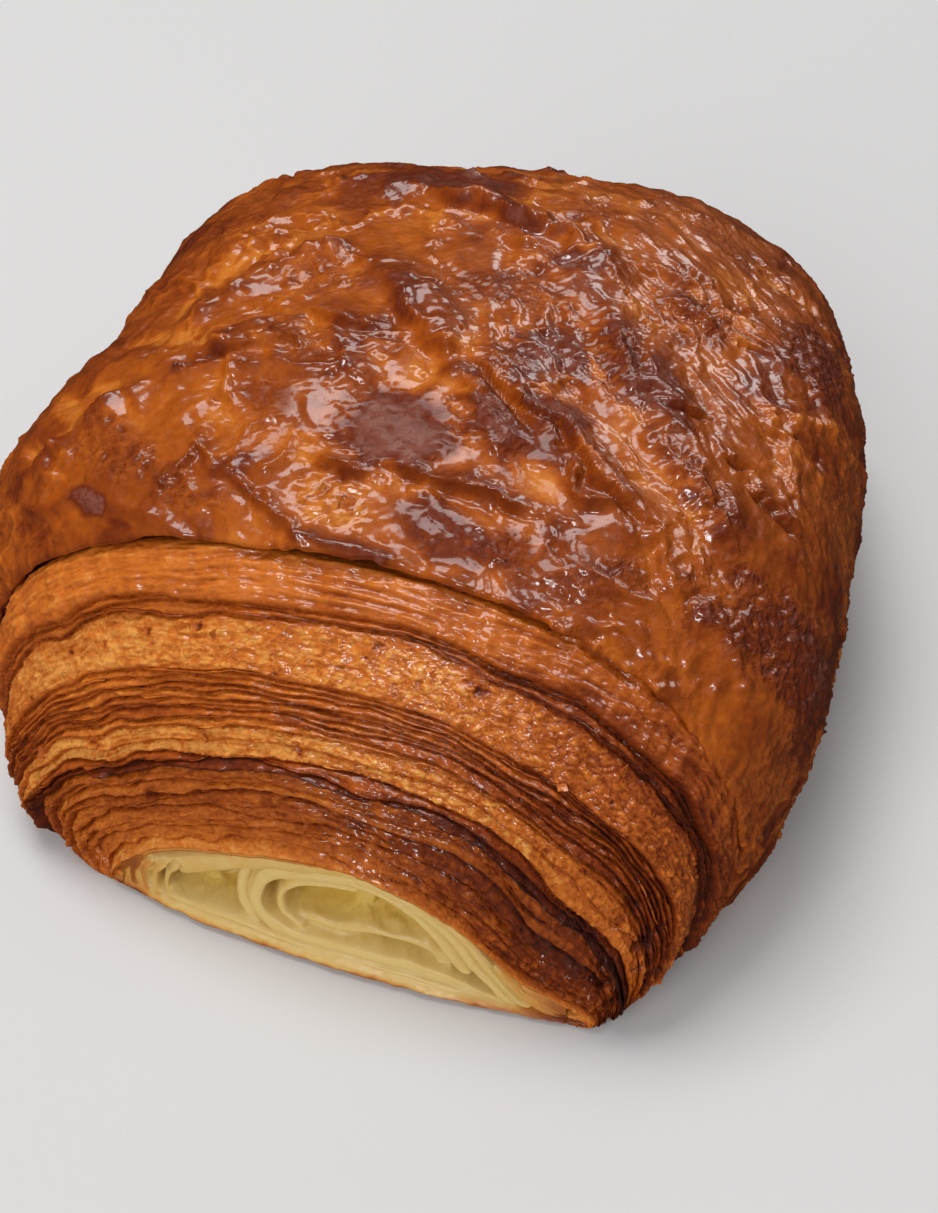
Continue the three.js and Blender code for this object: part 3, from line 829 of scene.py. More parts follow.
# Which layer each point is on, and how far along that layer
def layerPlaces(shares, fullness, end):
    ply = SimpleNamespace(seed=200 if end < 0 else 300, along=end * alongAt(fullness), fullness=fullness)
    ply.base = smoothLoaf(shares, ply.along)
    ply.across = across = shares if end < 0 else 1.0 - shares
    flat = stacked(across * 130.0, fullness * 45.0)
    ridge = np.interp(across, *zip(*ridgeRun))
    way = fullness / crust["lipFullness"]
    wander = layers["wander"] * layeredNoise(flat, 20.0, ply.seed, 2)
    wander = wander + 0.016 * layeredNoise(flat * (1.0, 0.8, 1.0), 7.0, ply.seed + 4, 3)
    ply.way = way = way + smoothStep(way, 0.0, 0.12) * wander
    ply.pastRidge = way - ridge
    place = layers["ridgePlace"]
    warped = np.where(way < ridge, way * place / ridge, place + (way - ridge) * (1.0 - place) / (1.0 - ridge))
    drift = stacked(across * 15.0, warped * 7.0)
    warped = warped + 0.020 * layeredNoise(drift, 1.0, ply.seed + 9, 3)
    ply.warped = warped = warped + 0.006 * layeredNoise(drift * (3.0, 3.0, 1.0), 1.0, ply.seed + 12, 3)
    ply.table = layerTable()
    borders = pinchedBorders(ply.table.starts, across[0], ply.seed)
    ply.index = sum((warped >= border).astype(int) for border in borders[1:-1])
    column = np.arange(warped.shape[1])
    begin = borders[ply.index, column]
    size = np.maximum(borders[ply.index + 1, column] - begin, 0.004)
    ply.t = limited((warped - begin) / size)
    ply.span = size * layers["wayLength"]
    ply.ownNoise = layeredNoise(stacked(across * 45.0, ply.index * 3.7), 1.0, ply.seed + 20, 4)
    ply.onLeft = 1.0 - smoothStep(across, 0.16, 0.34)
    ply.onRight = smoothStep(across, 0.55, 0.80)
    return ply


# The grain of the plies: streaks along them, and broken and pitted faces where they are porous
def layerGrain(ply):
    base, across, seed, t = ply.base, ply.across, ply.seed, ply.t
    narrowed = 1.0 - 0.55 * smoothStep(across + 0.10 * ply.ownNoise, 0.50, 0.74)
    ply.porous = ply.table.pores[ply.index] * within(t, (0.0, 0.12, 0.9, 1.0)) * narrowed
    coarse = stacked(across * 20.0, ply.warped * 34.0)
    ply.streaks = layeredNoise(coarse, 1.0, seed + 41, 3, 0.6, "ridge")
    ply.fineStreaks = layeredNoise(coarse * (1.8, 2.3, 1.0), 1.0, seed + 45, 3, 0.6, "ridge")
    fromCell = cellNoise(base * (0.8, 1.0, 1.0), 0.95, seed + 31)[0] / 0.75
    ply.bubbles = np.sqrt(np.maximum(1.0 - fromCell ** 2, 0.0))
    ply.lumps = layeredNoise(base, 2.4, seed + 51, 4, 0.6, "billow")
    ply.pits = smoothStep(ply.lumps, 0.16, 0.42)
    openNear = cellNoise(base * (0.75, 1.0, 1.0), 2.3, seed + 37)[0]
    openings = smoothStep(0.50 - openNear + 0.35 * layeredNoise(base, 0.9, seed + 38, 2), 0.0, 0.22)
    ply.openings = openings * smoothStep(across, 0.66, 0.80) * within(ply.way, (0.04, 0.12, 0.42, 0.66))
    shaken = base + 0.7 * shake(base, 1.3, seed + 35, seed + 36, seed + 39)
    ply.broken = facets(shaken * (0.50, 1.0, 1.0), 0.85, seed + 33)
    ply.brokenFine = facets(shaken * (0.7, 1.0, 1.0), 0.50, seed + 34)
    rucked = stacked(across * 16.0 - ply.warped * 9.0, ply.warped * 44.0)
    ply.rucks = layeredNoise(rucked, 1.0, seed + 47, 3, 0.55, "ridge")
    ply.rucks = smoothStep(ply.warped, *layers["sheetStart"]) * ply.rucks
    ply.granular = ply.porous * (0.35 + 0.65 * smoothStep(across + 0.25 * ply.ownNoise, 0.30, 0.62))


def layerRelief(ply):
    t, span, porous = ply.t, ply.span, ply.porous
    swollen = np.clip(1.0 + 1.3 * ply.ownNoise + 0.5 * ply.onLeft + 0.35 * ply.onRight, 0.1, 2.2)
    lift = layers["lift"] * ply.table.heights[ply.index] * swollen
    relief = lift * (1.0 - np.exp(-t * span / 0.14)) * (1.0 - 0.9 * t)
    bulging = 2.4 * bump(ply.way - 0.74, 0.20) + 1.0 * bump(ply.pastRidge - 0.03, 0.08)
    relief = relief + bulging * (1.0 - smoothStep(ply.across, 0.07, 0.25))
    relief = relief - 0.30 * bump(t * span, 0.16) - 0.22 * bump((1.0 - t) * span, 0.20)
    crumbly = 0.26 * ply.broken + 0.15 * ply.brokenFine + 0.42 * ply.lumps - 0.50 * ply.pits
    relief = relief + ply.granular * crumbly
    relief = relief + (porous - ply.granular) * (0.45 * ply.streaks + 0.25 * ply.fineStreaks)
    relief = relief + 0.42 * ply.rucks + 0.16 * (1.0 - porous) * (ply.broken - 0.3)
    streaky = (1.0 - 0.55 * porous) * (1.0 + 0.5 * ply.onRight)
    relief = relief + (0.30 * ply.streaks + 0.14 * ply.fineStreaks) * streaky - 1.0 * ply.openings
    relief = relief + 0.16 * layeredNoise(ply.base, 1.3, ply.seed + 61, 3)
    onEnd = smoothStep(ply.fullness, 0.0, 0.05)
    under = smoothStep(ply.fullness, crust["lipFullness"] - 0.02, crust["lipFullness"] + 0.03)
    relief = relief * (0.30 + 0.70 * onEnd) * (1.0 - under)
    return relief - layers["depth"] * onEnd - layers["underCrust"] * under


def layerBake(ply):
    porous = ply.porous
    darkEdge = np.exp(-ply.t * ply.span / 0.22)
    bake = lerp(ply.table.bakes[ply.index], ply.table.edges[ply.index], darkEdge)
    bake = bake + 0.26 * smoothStep(ply.t, 0.72, 1.0) * (1.0 - 0.7 * porous) - 0.16 * ply.rucks
    bake = bake - ply.granular * (0.60 * ply.broken + 0.40 * ply.brokenFine - 0.34)
    bake = bake + porous * (0.40 * ply.pits + 0.20 * ply.lumps - 0.14 * ply.bubbles - 0.15 * ply.onRight)
    bake = bake - 0.14 * (1.0 - porous) * (ply.broken - 0.3) + 0.25 * ply.openings
    bake = bake - (0.22 * ply.streaks + 0.16 * ply.fineStreaks) * (1.0 - 0.3 * porous)
    bake = bake + 0.14 * layeredNoise(ply.base, 5.0, ply.seed + 71, 4)
    # adds the table's baked colour and its painted shade
    return bake + sum(amount * within(ply.across, across) * within(ply.way, way)
                      for amount, across, way in layerBakeAndShade)


def layerFlakiness(ply):
    flaky = smoothStep(layeredNoise(ply.base, 6.0, ply.seed + 91, 2), -0.05, 0.3) * ply.porous
    return limited(flaky * (0.25 + 0.9 * smoothStep(ply.across, 0.45, 0.7)) + 1.2 * ply.openings)


# Rows that turn the plies in at the rim of the mouth
def rollRim(rim, into):
    inward = unit(stacked((loaf["peakShift"] * 0.5 - rim[:, 0]) / 27.0, 0.0, 3.0 - rim[:, 2]))
    rows = []
    for angle in np.radians(np.linspace(0.0, 90.0, layers["rimRows"] + 1)[1:]):
        turned = 1.2 * inward * (1.0 - math.cos(angle)) + 0.6 * into * math.sin(angle)
        rows.append(rim + layers["rimRadius"] * turned)
    return rows + [rows[-1] + into * layers["backDepth"]]


def buildLayers(end, material):
    total = layers["columns"] if end < 0 else layers["farColumns"]
    shares, levels = np.meshgrid(np.linspace(0.0, 1.0, total),
                                 np.linspace(0.0, layers["top"], layers["rows"]))
    ply = layerPlaces(shares, levels, end)
    layerGrain(ply)
    shine = smoothStep(ply.warped, 0.84, 0.9)
    fields = {"bake": layerBake(ply), "rough": 0.35 + 0.30 * ply.porous - 0.35 * shine,
              "matt": 0.25 - 0.25 * shine - 0.25 * ply.porous}
    fields = changed(fields, limited)
    outward = smoothNormal(shares, ply.along * 0.9999)
    foot = smoothStep(np.minimum(shares, 1.0 - shares), 0.0, 0.05)
    surface = ply.base + outward * (layerRelief(ply) * (0.1 + 0.9 * foot))[..., None]
    lowered = rimDroop(surface[0, :, 0] - loaf["shiftX"])
    surface[..., 2] *= 1.0 - lowered * (1.0 - smoothStep(levels, 0.0, 0.36))
    surface[..., 0] += cornerTuck(surface[..., 0]) * (1.0 - smoothStep(levels, 0.02, 0.24))
    buildLeaves(end, surface, outward, ply.index, fields["bake"], material)
    buildFlakes(end, surface, outward, layerFlakiness(ply) * foot, material)
    into = np.array([0.0, -end, 0.0])
    rows = rollRim(surface[0], into)
    points = np.concatenate([rows[::-1], surface])
    points[..., 2] = np.maximum(points[..., 2], 0.0)
    fields = changed(fields, lambda value: np.pad(value, ((len(rows), 0), (0, 0)), mode="edge"))
    fade = np.linspace(0.0, 1.0, len(rows))[:, None] ** 2
    fields["bake"][:len(rows)] = lerp(layers["rimBake"], fields["bake"][:len(rows)], fade)
    back = [points[0] + into, points[-1] + into * layers["backDepth"]]
    if end > 0:
        points, back, fields = points[::-1], back[::-1], changed(fields, lambda value: value[::-1])
    normals = gridNormals(points)
    halves = [("layersNearLeft", slice(0, total // 2 + 1)), ("layersNearRight", slice(total // 2, total))]
    for name, columns in halves if end < 0 else [("layersFar", slice(0, total))]:
        part = changed(fields, lambda value: value[:, columns])
        backPart = [row[columns] for row in back]
        piece = closedPatch(name, points[:, columns], normals[:, columns], part, *backPart, material)
        settle(piece)


# Nodes for materials and for shapes
def feed(tree, socket, value):
    if isinstance(value, bpy.types.NodeSocket):
        tree.links.new(value, socket)
    else:
        socket.default_value = value


def setSockets(tree, node, **sockets):
    for key, value in sockets.items():
        feed(tree, next(s for s in node.inputs if s.name.replace(" ", "") == key and s.enabled), value)


def addNode(tree, kind, settings=None, **sockets):
    node = tree.nodes.new(kind)
    for key, value in (settings or {}).items():
        setattr(node, key, value)
    setSockets(tree, node, **sockets)
    return node


def mathNode(tree, operation, *values, kind="ShaderNodeMath"):
    node = addNode(tree, kind, {"operation": operation})
    for socket, value in zip(node.inputs, values):
        feed(tree, socket, value)
    return node.outputs[0]


def vectorMath(tree, operation, *values):
    return mathNode(tree, operation, *values, kind="ShaderNodeVectorMath")


def scaled(tree, vector, amount):
    node = addNode(tree, "ShaderNodeVectorMath", {"operation": "SCALE"}, Vector=vector, Scale=amount)
    return node.outputs[0]


# Geometry Nodes: trees with named inputs, run on a source mesh and made plain
def newTree(name, inputs):
    tree = bpy.data.node_groups.new(name, "GeometryNodeTree")
    for label, kind in {"Geometry": "Geometry", **inputs}.items():
        tree.interface.new_socket(label, in_out="INPUT", socket_type="NodeSocket" + kind)
    tree.interface.new_socket("Geometry", in_out="OUTPUT", socket_type="NodeSocketGeometry")
    return tree, tree.nodes.new("NodeGroupInput").outputs


def storedField(tree, name, kind="FLOAT"):
    node = addNode(tree, "GeometryNodeInputNamedAttribute", {"data_type": kind}, Name=name)
    return node.outputs["Attribute"]


# A thin wall behind the faces of an open sheet, closed all round
def thickened(tree, sheet, thickness):
    wall = addNode(tree, "GeometryNodeExtrudeMesh", {"mode": "FACES"}, Mesh=sheet, OffsetScale=thickness,
                   Individual=False)
    under = addNode(tree, "GeometryNodeFlipFaces", Mesh=sheet)
    both = tree.nodes.new("GeometryNodeJoinGeometry")
    for part in (wall, under):
        tree.links.new(part.outputs["Mesh"], both.inputs[0])
    merged = addNode(tree, "GeometryNodeMergeByDistance", Geometry=both.outputs[0], Distance=0.000002)
    return merged.outputs[0]


def finishTree(tree, geometry, material):
    real = addNode(tree, "GeometryNodeRealizeInstances", Geometry=geometry)
    finished = addNode(tree, "GeometryNodeSetMaterial", Geometry=real.outputs[0], Material=material)
    tree.links.new(finished.outputs[0], tree.nodes.new("NodeGroupOutput").inputs[0])


def runTree(name, source, tree, values):
    modifier = source.modifiers.new("nodes", "NODES")
    modifier.node_group = tree
    for item in tree.interface.items_tree:
        if item.item_type == "SOCKET" and item.in_out == "INPUT" and item.name in values:
            modifier[item.identifier] = values[item.name]
    bpy.context.view_layer.update()
    evaluated = source.evaluated_get(bpy.context.evaluated_depsgraph_get())
    mesh = bpy.data.meshes.new_from_object(evaluated)
    source.modifiers.remove(modifier)
    bpy.data.objects.remove(source)
    print(name, len(mesh.polygons), "faces")
    return addObject(name, mesh)


# Leaves: thin ragged edges of dough that stand out from the layered ends
leaves = {
    "inputs": {"Reach": 1.0, "Curl": 0.35, "Ragged": 0.55, "RaggedScale": 620.0, "Thickness": 0.00013},
    "reach": 0.9,
    "skip": 2,               # every second column of the layers carries a point
    "inset": 0.35,
    "rough": 0.3,
    "matt": 0.15,
    "ownReach": {9: 1.5, 10: 1.3, 21: 1.1, 22: 1.1, 23: 1.0},
}


def leafTree():
    tree, start = newTree("plyLeaves", {**dict.fromkeys(leaves["inputs"], "Float"), "Material": "Material"})
    out, up = storedField(tree, "outward", "FLOAT_VECTOR"), storedField(tree, "upward", "FLOAT_VECTOR")
    lift = storedField(tree, "lift")
    reach = mathNode(tree, "MULTIPLY", lift, start["Reach"])
    straight = scaled(tree, out, reach)
    curled = scaled(tree, up, mathNode(tree, "MULTIPLY", reach, start["Curl"]))
    bent = vectorMath(tree, "ADD", straight, curled)
    first = addNode(tree, "GeometryNodeExtrudeMesh", {"mode": "EDGES"}, Mesh=start["Geometry"],
                    Offset=straight, OffsetScale=0.6)
    second = addNode(tree, "GeometryNodeExtrudeMesh", {"mode": "EDGES"}, Mesh=first.outputs["Mesh"],
                     Selection=first.outputs["Top"], Offset=bent, OffsetScale=0.4)
    spot = tree.nodes.new("GeometryNodeInputPosition").outputs[0]
    noise = addNode(tree, "ShaderNodeTexNoise", Vector=spot, Scale=start["RaggedScale"], Detail=3.0)
    torn = mathNode(tree, "MULTIPLY", mathNode(tree, "SUBTRACT", noise.outputs[0], 0.55), start["Ragged"])
    uneven = addNode(tree, "GeometryNodeSetPosition", Geometry=second.outputs["Mesh"],
                     Selection=second.outputs["Top"],
                     Offset=scaled(tree, out, mathNode(tree, "MULTIPLY", torn, lift)))
    finishTree(tree, thickened(tree, uneven.outputs[0], start["Thickness"]), start["Material"])
    return tree


# The lines that the leaves grow from: where each layer begins, on the finished surface
def leafLines(surface, outward, ply, bake, end):
    random = np.random.default_rng(5 if end < 0 else 6)
    rows, columns = ply.shape
    picked = np.arange(8, columns - 8, leaves["skip"])
    lines, edges = [], []
    for k in range(2, int(ply.max()) - 1):
        row = np.pad(np.argmax(ply >= k, axis=0), 2, mode="edge")
        row = np.round(np.convolve(row, np.ones(5) / 5.0, mode="valid")).astype(int)
        row = np.clip(row + 1, 2, rows - 3)[picked]
        on, normal = surface[row, picked], outward[row, picked]
        ahead = unit(surface[row + 2, picked] - surface[row - 2, picked])
        wander = layeredNoise(stacked(on[:, 0] / 7.0, 2.3 * k, 1.7 * end), 1.0, 301, 3)
        lift = smoothStep(wander, -0.10 + 0.25 * random.random(), 0.30)
        lift = np.maximum(lift * leaves["reach"], leaves["ownReach"].get(k, 0.0) * (0.45 + 0.55 * lift))
        lift = lift * smoothStep(on[:, 2], 1.5, 5.0)
        tone = limited(bake[row, picked] - 0.16 + 0.3 * random.random())
        lines.append([on - normal * leaves["inset"], normal * 0.9 - ahead * 0.35, ahead, lift, tone])
        start = (k - 2) * len(picked)
        kept = np.flatnonzero((lift[:-1] > 0.12) & (lift[1:] > 0.12))
        edges += [(start + j, start + j + 1) for j in kept.tolist()]
    return [np.concatenate(part) for part in zip(*lines)], np.array(edges)


def buildLeaves(end, surface, outward, ply, bake, material):
    lines, edges = leafLines(surface, outward, ply, bake, end)
    used, renumbered = np.unique(edges, return_inverse=True)
    points, outs, ups, lifts, bakes = (part[used] for part in lines)
    fields = {"outward": outs, "upward": ups, "lift": lifts * 0.001, "bake": bakes,
              "rough": np.full(len(used), leaves["rough"]), "matt": np.full(len(used), leaves["matt"])}
    name = "leavesNear" if end < 0 else "leavesFar"
    source = makeMesh(name + "Lines", points, [], material, fields, edges=renumbered.reshape(-1, 2).tolist())
    settle(runTree(name, source, leafTree(), {**leaves["inputs"], "Material": material}))


# Flakes: small curled scraps of skin lying on the layers
flakeBits = {
    "inputs": {
        "Length": 0.0015,
        "Width": 0.00095,
        "Thickness": 0.00011,
        "Curl": 240.0,       # how strongly they bend, for each metre squared
        "Density": 90000.0,  # for each square metre where the layers are at their flakiest
        "Tilt": 0.75,
        "Smallest": 0.45,
        "Largest": 1.25,
        "Palest": 0.24,
        "Darkest": 0.52,
    },
    "crumple": 0.0007,
    "crumpleScale": 1300.0,
    "seed": 12,
}


def flakeTree():
    kinds = dict.fromkeys(flakeBits["inputs"], "Float")
    tree, start = newTree("looseFlakes", {**kinds, "Material": "Material"})
    density = mathNode(tree, "MULTIPLY", storedField(tree, "flaky"), start["Density"])
    spread = addNode(tree, "GeometryNodeDistributePointsOnFaces", Mesh=start["Geometry"], Density=density,
                     Seed=flakeBits["seed"])
    tone = addNode(tree, "FunctionNodeRandomValue", Min=start["Palest"], Max=start["Darkest"], Seed=1)
    toned = addNode(tree, "GeometryNodeStoreNamedAttribute", Geometry=spread.outputs["Points"], Name="bake",
                    Value=tone.outputs["Value"])
    sheet = addNode(tree, "GeometryNodeMeshGrid", SizeX=start["Length"], SizeY=start["Width"],
                    VerticesX=5, VerticesY=4)
    spot = tree.nodes.new("GeometryNodeInputPosition").outputs[0]
    x = addNode(tree, "ShaderNodeSeparateXYZ", Vector=spot).outputs[0]
    bent = mathNode(tree, "MULTIPLY", mathNode(tree, "MULTIPLY", x, x), start["Curl"])
    noise = addNode(tree, "ShaderNodeTexNoise", Vector=spot, Scale=flakeBits["crumpleScale"], Detail=2.0)
    centred = vectorMath(tree, "SUBTRACT", noise.outputs["Color"], (0.5, 0.5, 0.5))
    rise = addNode(tree, "ShaderNodeCombineXYZ", Z=bent).outputs[0]
    shift = vectorMath(tree, "ADD", rise, scaled(tree, centred, flakeBits["crumple"]))
    curled = addNode(tree, "GeometryNodeSetPosition", Geometry=sheet.outputs["Mesh"], Offset=shift)
    flake = thickened(tree, curled.outputs[0], start["Thickness"])
    lean = mathNode(tree, "MULTIPLY", start["Tilt"], -1.0)
    low = addNode(tree, "ShaderNodeCombineXYZ", X=lean, Y=lean, Z=-math.pi).outputs[0]
    high = addNode(tree, "ShaderNodeCombineXYZ", X=start["Tilt"], Y=start["Tilt"], Z=math.pi).outputs[0]
    spin = addNode(tree, "FunctionNodeRandomValue", {"data_type": "FLOAT_VECTOR"}, Min=low, Max=high, Seed=2)
    turned = addNode(tree, "FunctionNodeRotateRotation", {"rotation_space": "LOCAL"},
                     Rotation=spread.outputs["Rotation"], RotateBy=spin.outputs[0])
    size = addNode(tree, "FunctionNodeRandomValue", Min=start["Smallest"], Max=start["Largest"], Seed=3)
    placed = addNode(tree, "GeometryNodeInstanceOnPoints", Points=toned.outputs[0], Instance=flake,
                     Rotation=turned.outputs[0], Scale=size.outputs["Value"])
    finishTree(tree, placed.outputs[0], start["Material"])
    return tree


def buildFlakes(end, surface, outward, flaky, material):
    rows, columns = flaky.shape
    chosen = slice(6, rows - 30, 3), slice(20, columns - 20, 3)
    on = (surface - 0.02 * outward)[chosen]
    index = gridIndex(*on.shape[:2])
    faces = gridQuads(index) if end < 0 else [face[::-1] for face in gridQuads(index)]
    name = "flakesNear" if end < 0 else "flakesFar"
    source = makeMesh(name + "Ground", on.reshape(-1, 3), faces, material, {"flaky": flaky[chosen].ravel()})
    settle(runTree(name, source, flakeTree(), {**flakeBits["inputs"], "Material": material}))


# The mouth at each end: pale inner dough, rolled up in sheets that are seen edge on.
# Its points are (across, deep, up), with deep measured in from the rim.
mouth = {
    "columns": 470,
    "rows": 150,
    "left": -27.0,
    "right": 28.2,
    "base": 0.04,
    "underRim": 0.35,        # how far behind the rim's edge the dough starts
    "pocketDepth": 6.6,
    "pocketLumps": 1.6,
    "backDepth": 12.0,
    "edgeBlend": 0.85,       # width over which a sheet's edge falls back into a pocket
    "softness": 0.18,
    "crown": 0.35,
    "groove": 0.55,          # shadow line beside each sheet
    "wave": 0.42,
    "floorFold": 0.55,
}

# Sheets seen edge on, from the back to the front: centre line as (across, up), thickness, how far
# the front edge stands back, and how brown it is
mouthSheets = {
    "backFold": ([(2.4, 9.8), (3.4, 7.6), (3.1, 5.4), (4.2, 3.6)], 1.5, 5.2, 0.0),
    "backLeft": ([(-14.2, 7.4), (-14.8, 5.0), (-13.6, 2.4)], 1.6, 4.8, 0.0),
    "floorLeaf": ([(-3.4, 4.0), (0.6, 4.1), (5.0, 4.9), (9.6, 5.1), (12.8, 4.2)], 0.8, 2.9, 0.0),
    "innerCurl": ([(-3.2, 3.6), (-5.2, 4.6), (-5.5, 6.4), (-4.2, 8.0), (-1.2, 9.3), (2.6, 9.9)],
                  0.8, 2.0, 0.0),
    "leftWeb": ([(-9.0, 9.2), (-9.9, 7.0), (-9.8, 4.4), (-8.4, 2.2)], 1.0, 1.9, 0.0),
    "roll": ([(17.6, 1.4), (13.0, 2.7), (8.0, 2.9), (3.0, 2.5), (-1.4, 2.2), (-5.0, 2.5), (-7.4, 4.0),
              (-8.1, 6.2), (-6.8, 8.6), (-3.6, 10.1), (0.4, 11.1), (4.4, 11.5), (8.4, 10.6), (11.6, 8.4),
              (14.4, 5.4)], 1.35, 1.1, 0.0),
    "fold": ([(4.0, 12.5), (8.2, 12.2), (11.8, 10.7), (14.8, 7.9), (17.4, 4.8), (19.4, 2.0)], 1.7, 0.8, 0.0),
    "fold2": ([(9.0, 13.3), (12.8, 11.7), (15.9, 9.0), (18.6, 5.8), (20.8, 2.6)], 1.3, 0.65, 0.05),
    "lining": ([(-24.4, 3.4), (-20.4, 4.9), (-16.4, 6.6), (-12.4, 8.6), (-8.4, 10.2), (-3.8, 11.7),
                (1.2, 13.1), (5.6, 13.9), (9.4, 13.8), (13.0, 12.2)], 1.7, 0.5, 0.12),
    "cornerEnd": ([(21.0, 7.4), (23.6, 5.0), (25.8, 3.0), (28.0, 1.2)], 2.2, 0.35, 0.34),
    "leftEnd": ([(-22.6, 5.6), (-25.0, 4.0), (-26.4, 2.4), (-26.8, 0.8)], 1.6, 0.15, 0.40),
    "corner": ([(18.4, 8.2), (20.8, 5.4), (22.9, 2.9), (25.0, 1.2)], 1.5, 0.45, 0.28),
    "tipD": ([(-17.2, 6.2), (-18.6, 4.4), (-18.8, 2.6), (-17.6, 1.2)], 0.7, 1.2, 0.14),
    "tipC": ([(-19.0, 5.6), (-20.4, 4.0), (-20.5, 2.2), (-19.4, 1.0)], 0.7, 0.9, 0.20),
    "tipB": ([(-21.0, 5.0), (-22.3, 3.6), (-22.4, 2.0), (-21.4, 0.9)], 0.7, 0.6, 0.30),
    "tipA": ([(-23.0, 4.3), (-24.2, 3.0), (-24.2, 1.6), (-23.2, 0.8)], 0.7, 0.3, 0.42),
    "bottom2": ([(-18.0, 1.9), (-10.0, 1.9), (-3.0, 1.5), (4.0, 1.5), (12.0, 1.7), (18.0, 1.0)],
                0.6, 0.6, 0.05),
    "bottom": ([(-27.0, 0.6), (-20.0, 0.75), (-12.0, 0.7), (-4.0, 0.65), (4.0, 0.7), (12.0, 0.8), (20.0, 0.7),
                (27.6, 0.6)], 1.2, 0.0, 0.08),
}


def fromSheet(x, z, line):
    away = np.full(x.shape, 1e3)
    for start, end in zip(line[:-1], line[1:]):
        away = np.minimum(away, distanceToLine(x, z, start, end))
    return away


def smoothLeast(a, b, softness):
    h = limited(0.5 + 0.5 * (b - a) / softness)
    return lerp(b, a, h) - softness * h * (1.0 - h)


# How far back the dough stands at each place of the mouth, and how brown it is there
def mouthDepth(x, z, seed):
    flat = stacked(x, z, seed)
    wavyX = x + mouth["wave"] * 1.6 * layeredNoise(flat, 5.0, 401, 3)
    wavyZ = z + mouth["wave"] * layeredNoise(flat, 4.0, 411, 3) * smoothStep(z, 0.8, 2.5)
    shallow = 1.0 - 0.86 * smoothStep(np.abs(x - loaf["mouthMiddle"]), 19.0, 24.0)
    depth = (mouth["pocketDepth"] + mouth["pocketLumps"] * layeredNoise(flat, 4.5, 421, 3)) * shallow
    toast = np.zeros(x.shape)
    thick = 1.0 + 0.45 * layeredNoise(flat * (1.0, 0.3, 1.0), 5.0, 431, 2)
    for points, thickness, front, brown in mouthSheets.values():
        away = fromSheet(wavyX, wavyZ, smoothCurve(points, 5))
        half = 0.5 * thickness * thick
        inside = smoothStep(half + mouth["edgeBlend"] - away, 0.0, mouth["edgeBlend"])
        face = front + mouth["crown"] * np.clip(away / half, 0.0, 1.3) ** 2
        depth = depth + mouth["groove"] * shallow * bump(away - half - 0.22, 0.20)
        depth = smoothLeast(depth, lerp(np.maximum(depth, face), face, inside), mouth["softness"])
        toast = lerp(toast, brown, smoothStep(half + 0.1 - away, 0.0, 0.2))
    return depth, toast


def buildMouth(end, material):
    share = np.linspace(0.02, 0.98, 400)
    rim = smoothLoaf(share, np.full_like(share, float(end)))
    x = np.linspace(mouth["left"], mouth["right"], mouth["columns"])
    top = np.interp(x, rim[:, 0] - loaf["shiftX"], rim[:, 2]) - mouth["underRim"]
    across, part = np.meshgrid(x, np.linspace(0.0, 1.0, mouth["rows"]))
    up = lerp(mouth["base"], np.maximum(top, 1.0), part)
    depth, toast = mouthDepth(across, up, 3.0 * end)
    up = lerp(mouth["base"], up, 1.0 - rimDroop(x))
    inner = stacked(across, depth * 1.5, up)
    folded = mouth["floorFold"] * smoothStep(depth, 0.6, 4.0)
    lifted = up + folded * layeredNoise(inner, 3.4, 441, 3, 0.5, "billow") * smoothStep(up, 0.6, 2.0)
    shifted = across + folded * layeredNoise(inner, 3.0, 445, 3)
    ragged = smoothStep(2.2 - up, 0.0, 1.6) * layeredNoise(inner, 3.2, 461, 3)
    bow = mouthBow(shifted) * (1.0 - smoothStep(part, 0.05, 0.9))
    y = end * (loaf["halfLength"] + bow + loaf["endSkew"] * shifted - depth + 0.5 * ragged) + loaf["shiftY"]
    lowest = 0.30 + 0.55 * layeredNoise(stacked(across, 0.0), 3.0, 465, 3)
    lifted = lifted + np.clip(lowest, 0.0, 0.6) * (1.0 - smoothStep(up, 0.0, 1.2))
    points = stacked(shifted + loaf["shiftX"] + cornerTuck(across), y, np.maximum(lifted, 0.02))
    frontal = 1.0 - smoothStep(depth, 0.2, 1.8)
    low = 1.0 - smoothStep(up + 0.70 * layeredNoise(inner, 2.4, 451, 3), 0.45, 1.25)
    side = 0.40 * smoothStep(np.abs(across - loaf["mouthMiddle"]), 19.5, 25.0)
    toast = (toast + side + 0.10 * layeredNoise(inner, 0.8, 459, 2)) * frontal
    toast = toast + 0.60 * low + 0.10 * layeredNoise(inner, 3.0, 455, 3)
    # deep: how far back the dough lies, which the material uses to paint shade into the pockets
    fields = {"toast": limited(toast), "deep": smoothStep(depth, 1.0, 6.0)}
    if end > 0:
        points, fields = points[:, ::-1], changed(fields, lambda value: value[:, ::-1])
    back = points[[0, -1]]
    back[..., 1] = end * (loaf["halfLength"] + loaf["endSkew"] * back[..., 0] - mouth["backDepth"])
    name = "mouthNear" if end < 0 else "mouthFar"
    settle(closedPatch(name, points, gridNormals(points), fields, *back, material))


# The baked underside
sole = {
    "rows": 150,
    "columns": 110,
    "thickness": 1.9,
    "inset": 0.9,
    "endInset": 2.0,
    "roundEdge": 0.9,
    "dimple": 0.35,
    "overBake": 0.18,
    "overRough": 0.4,
}


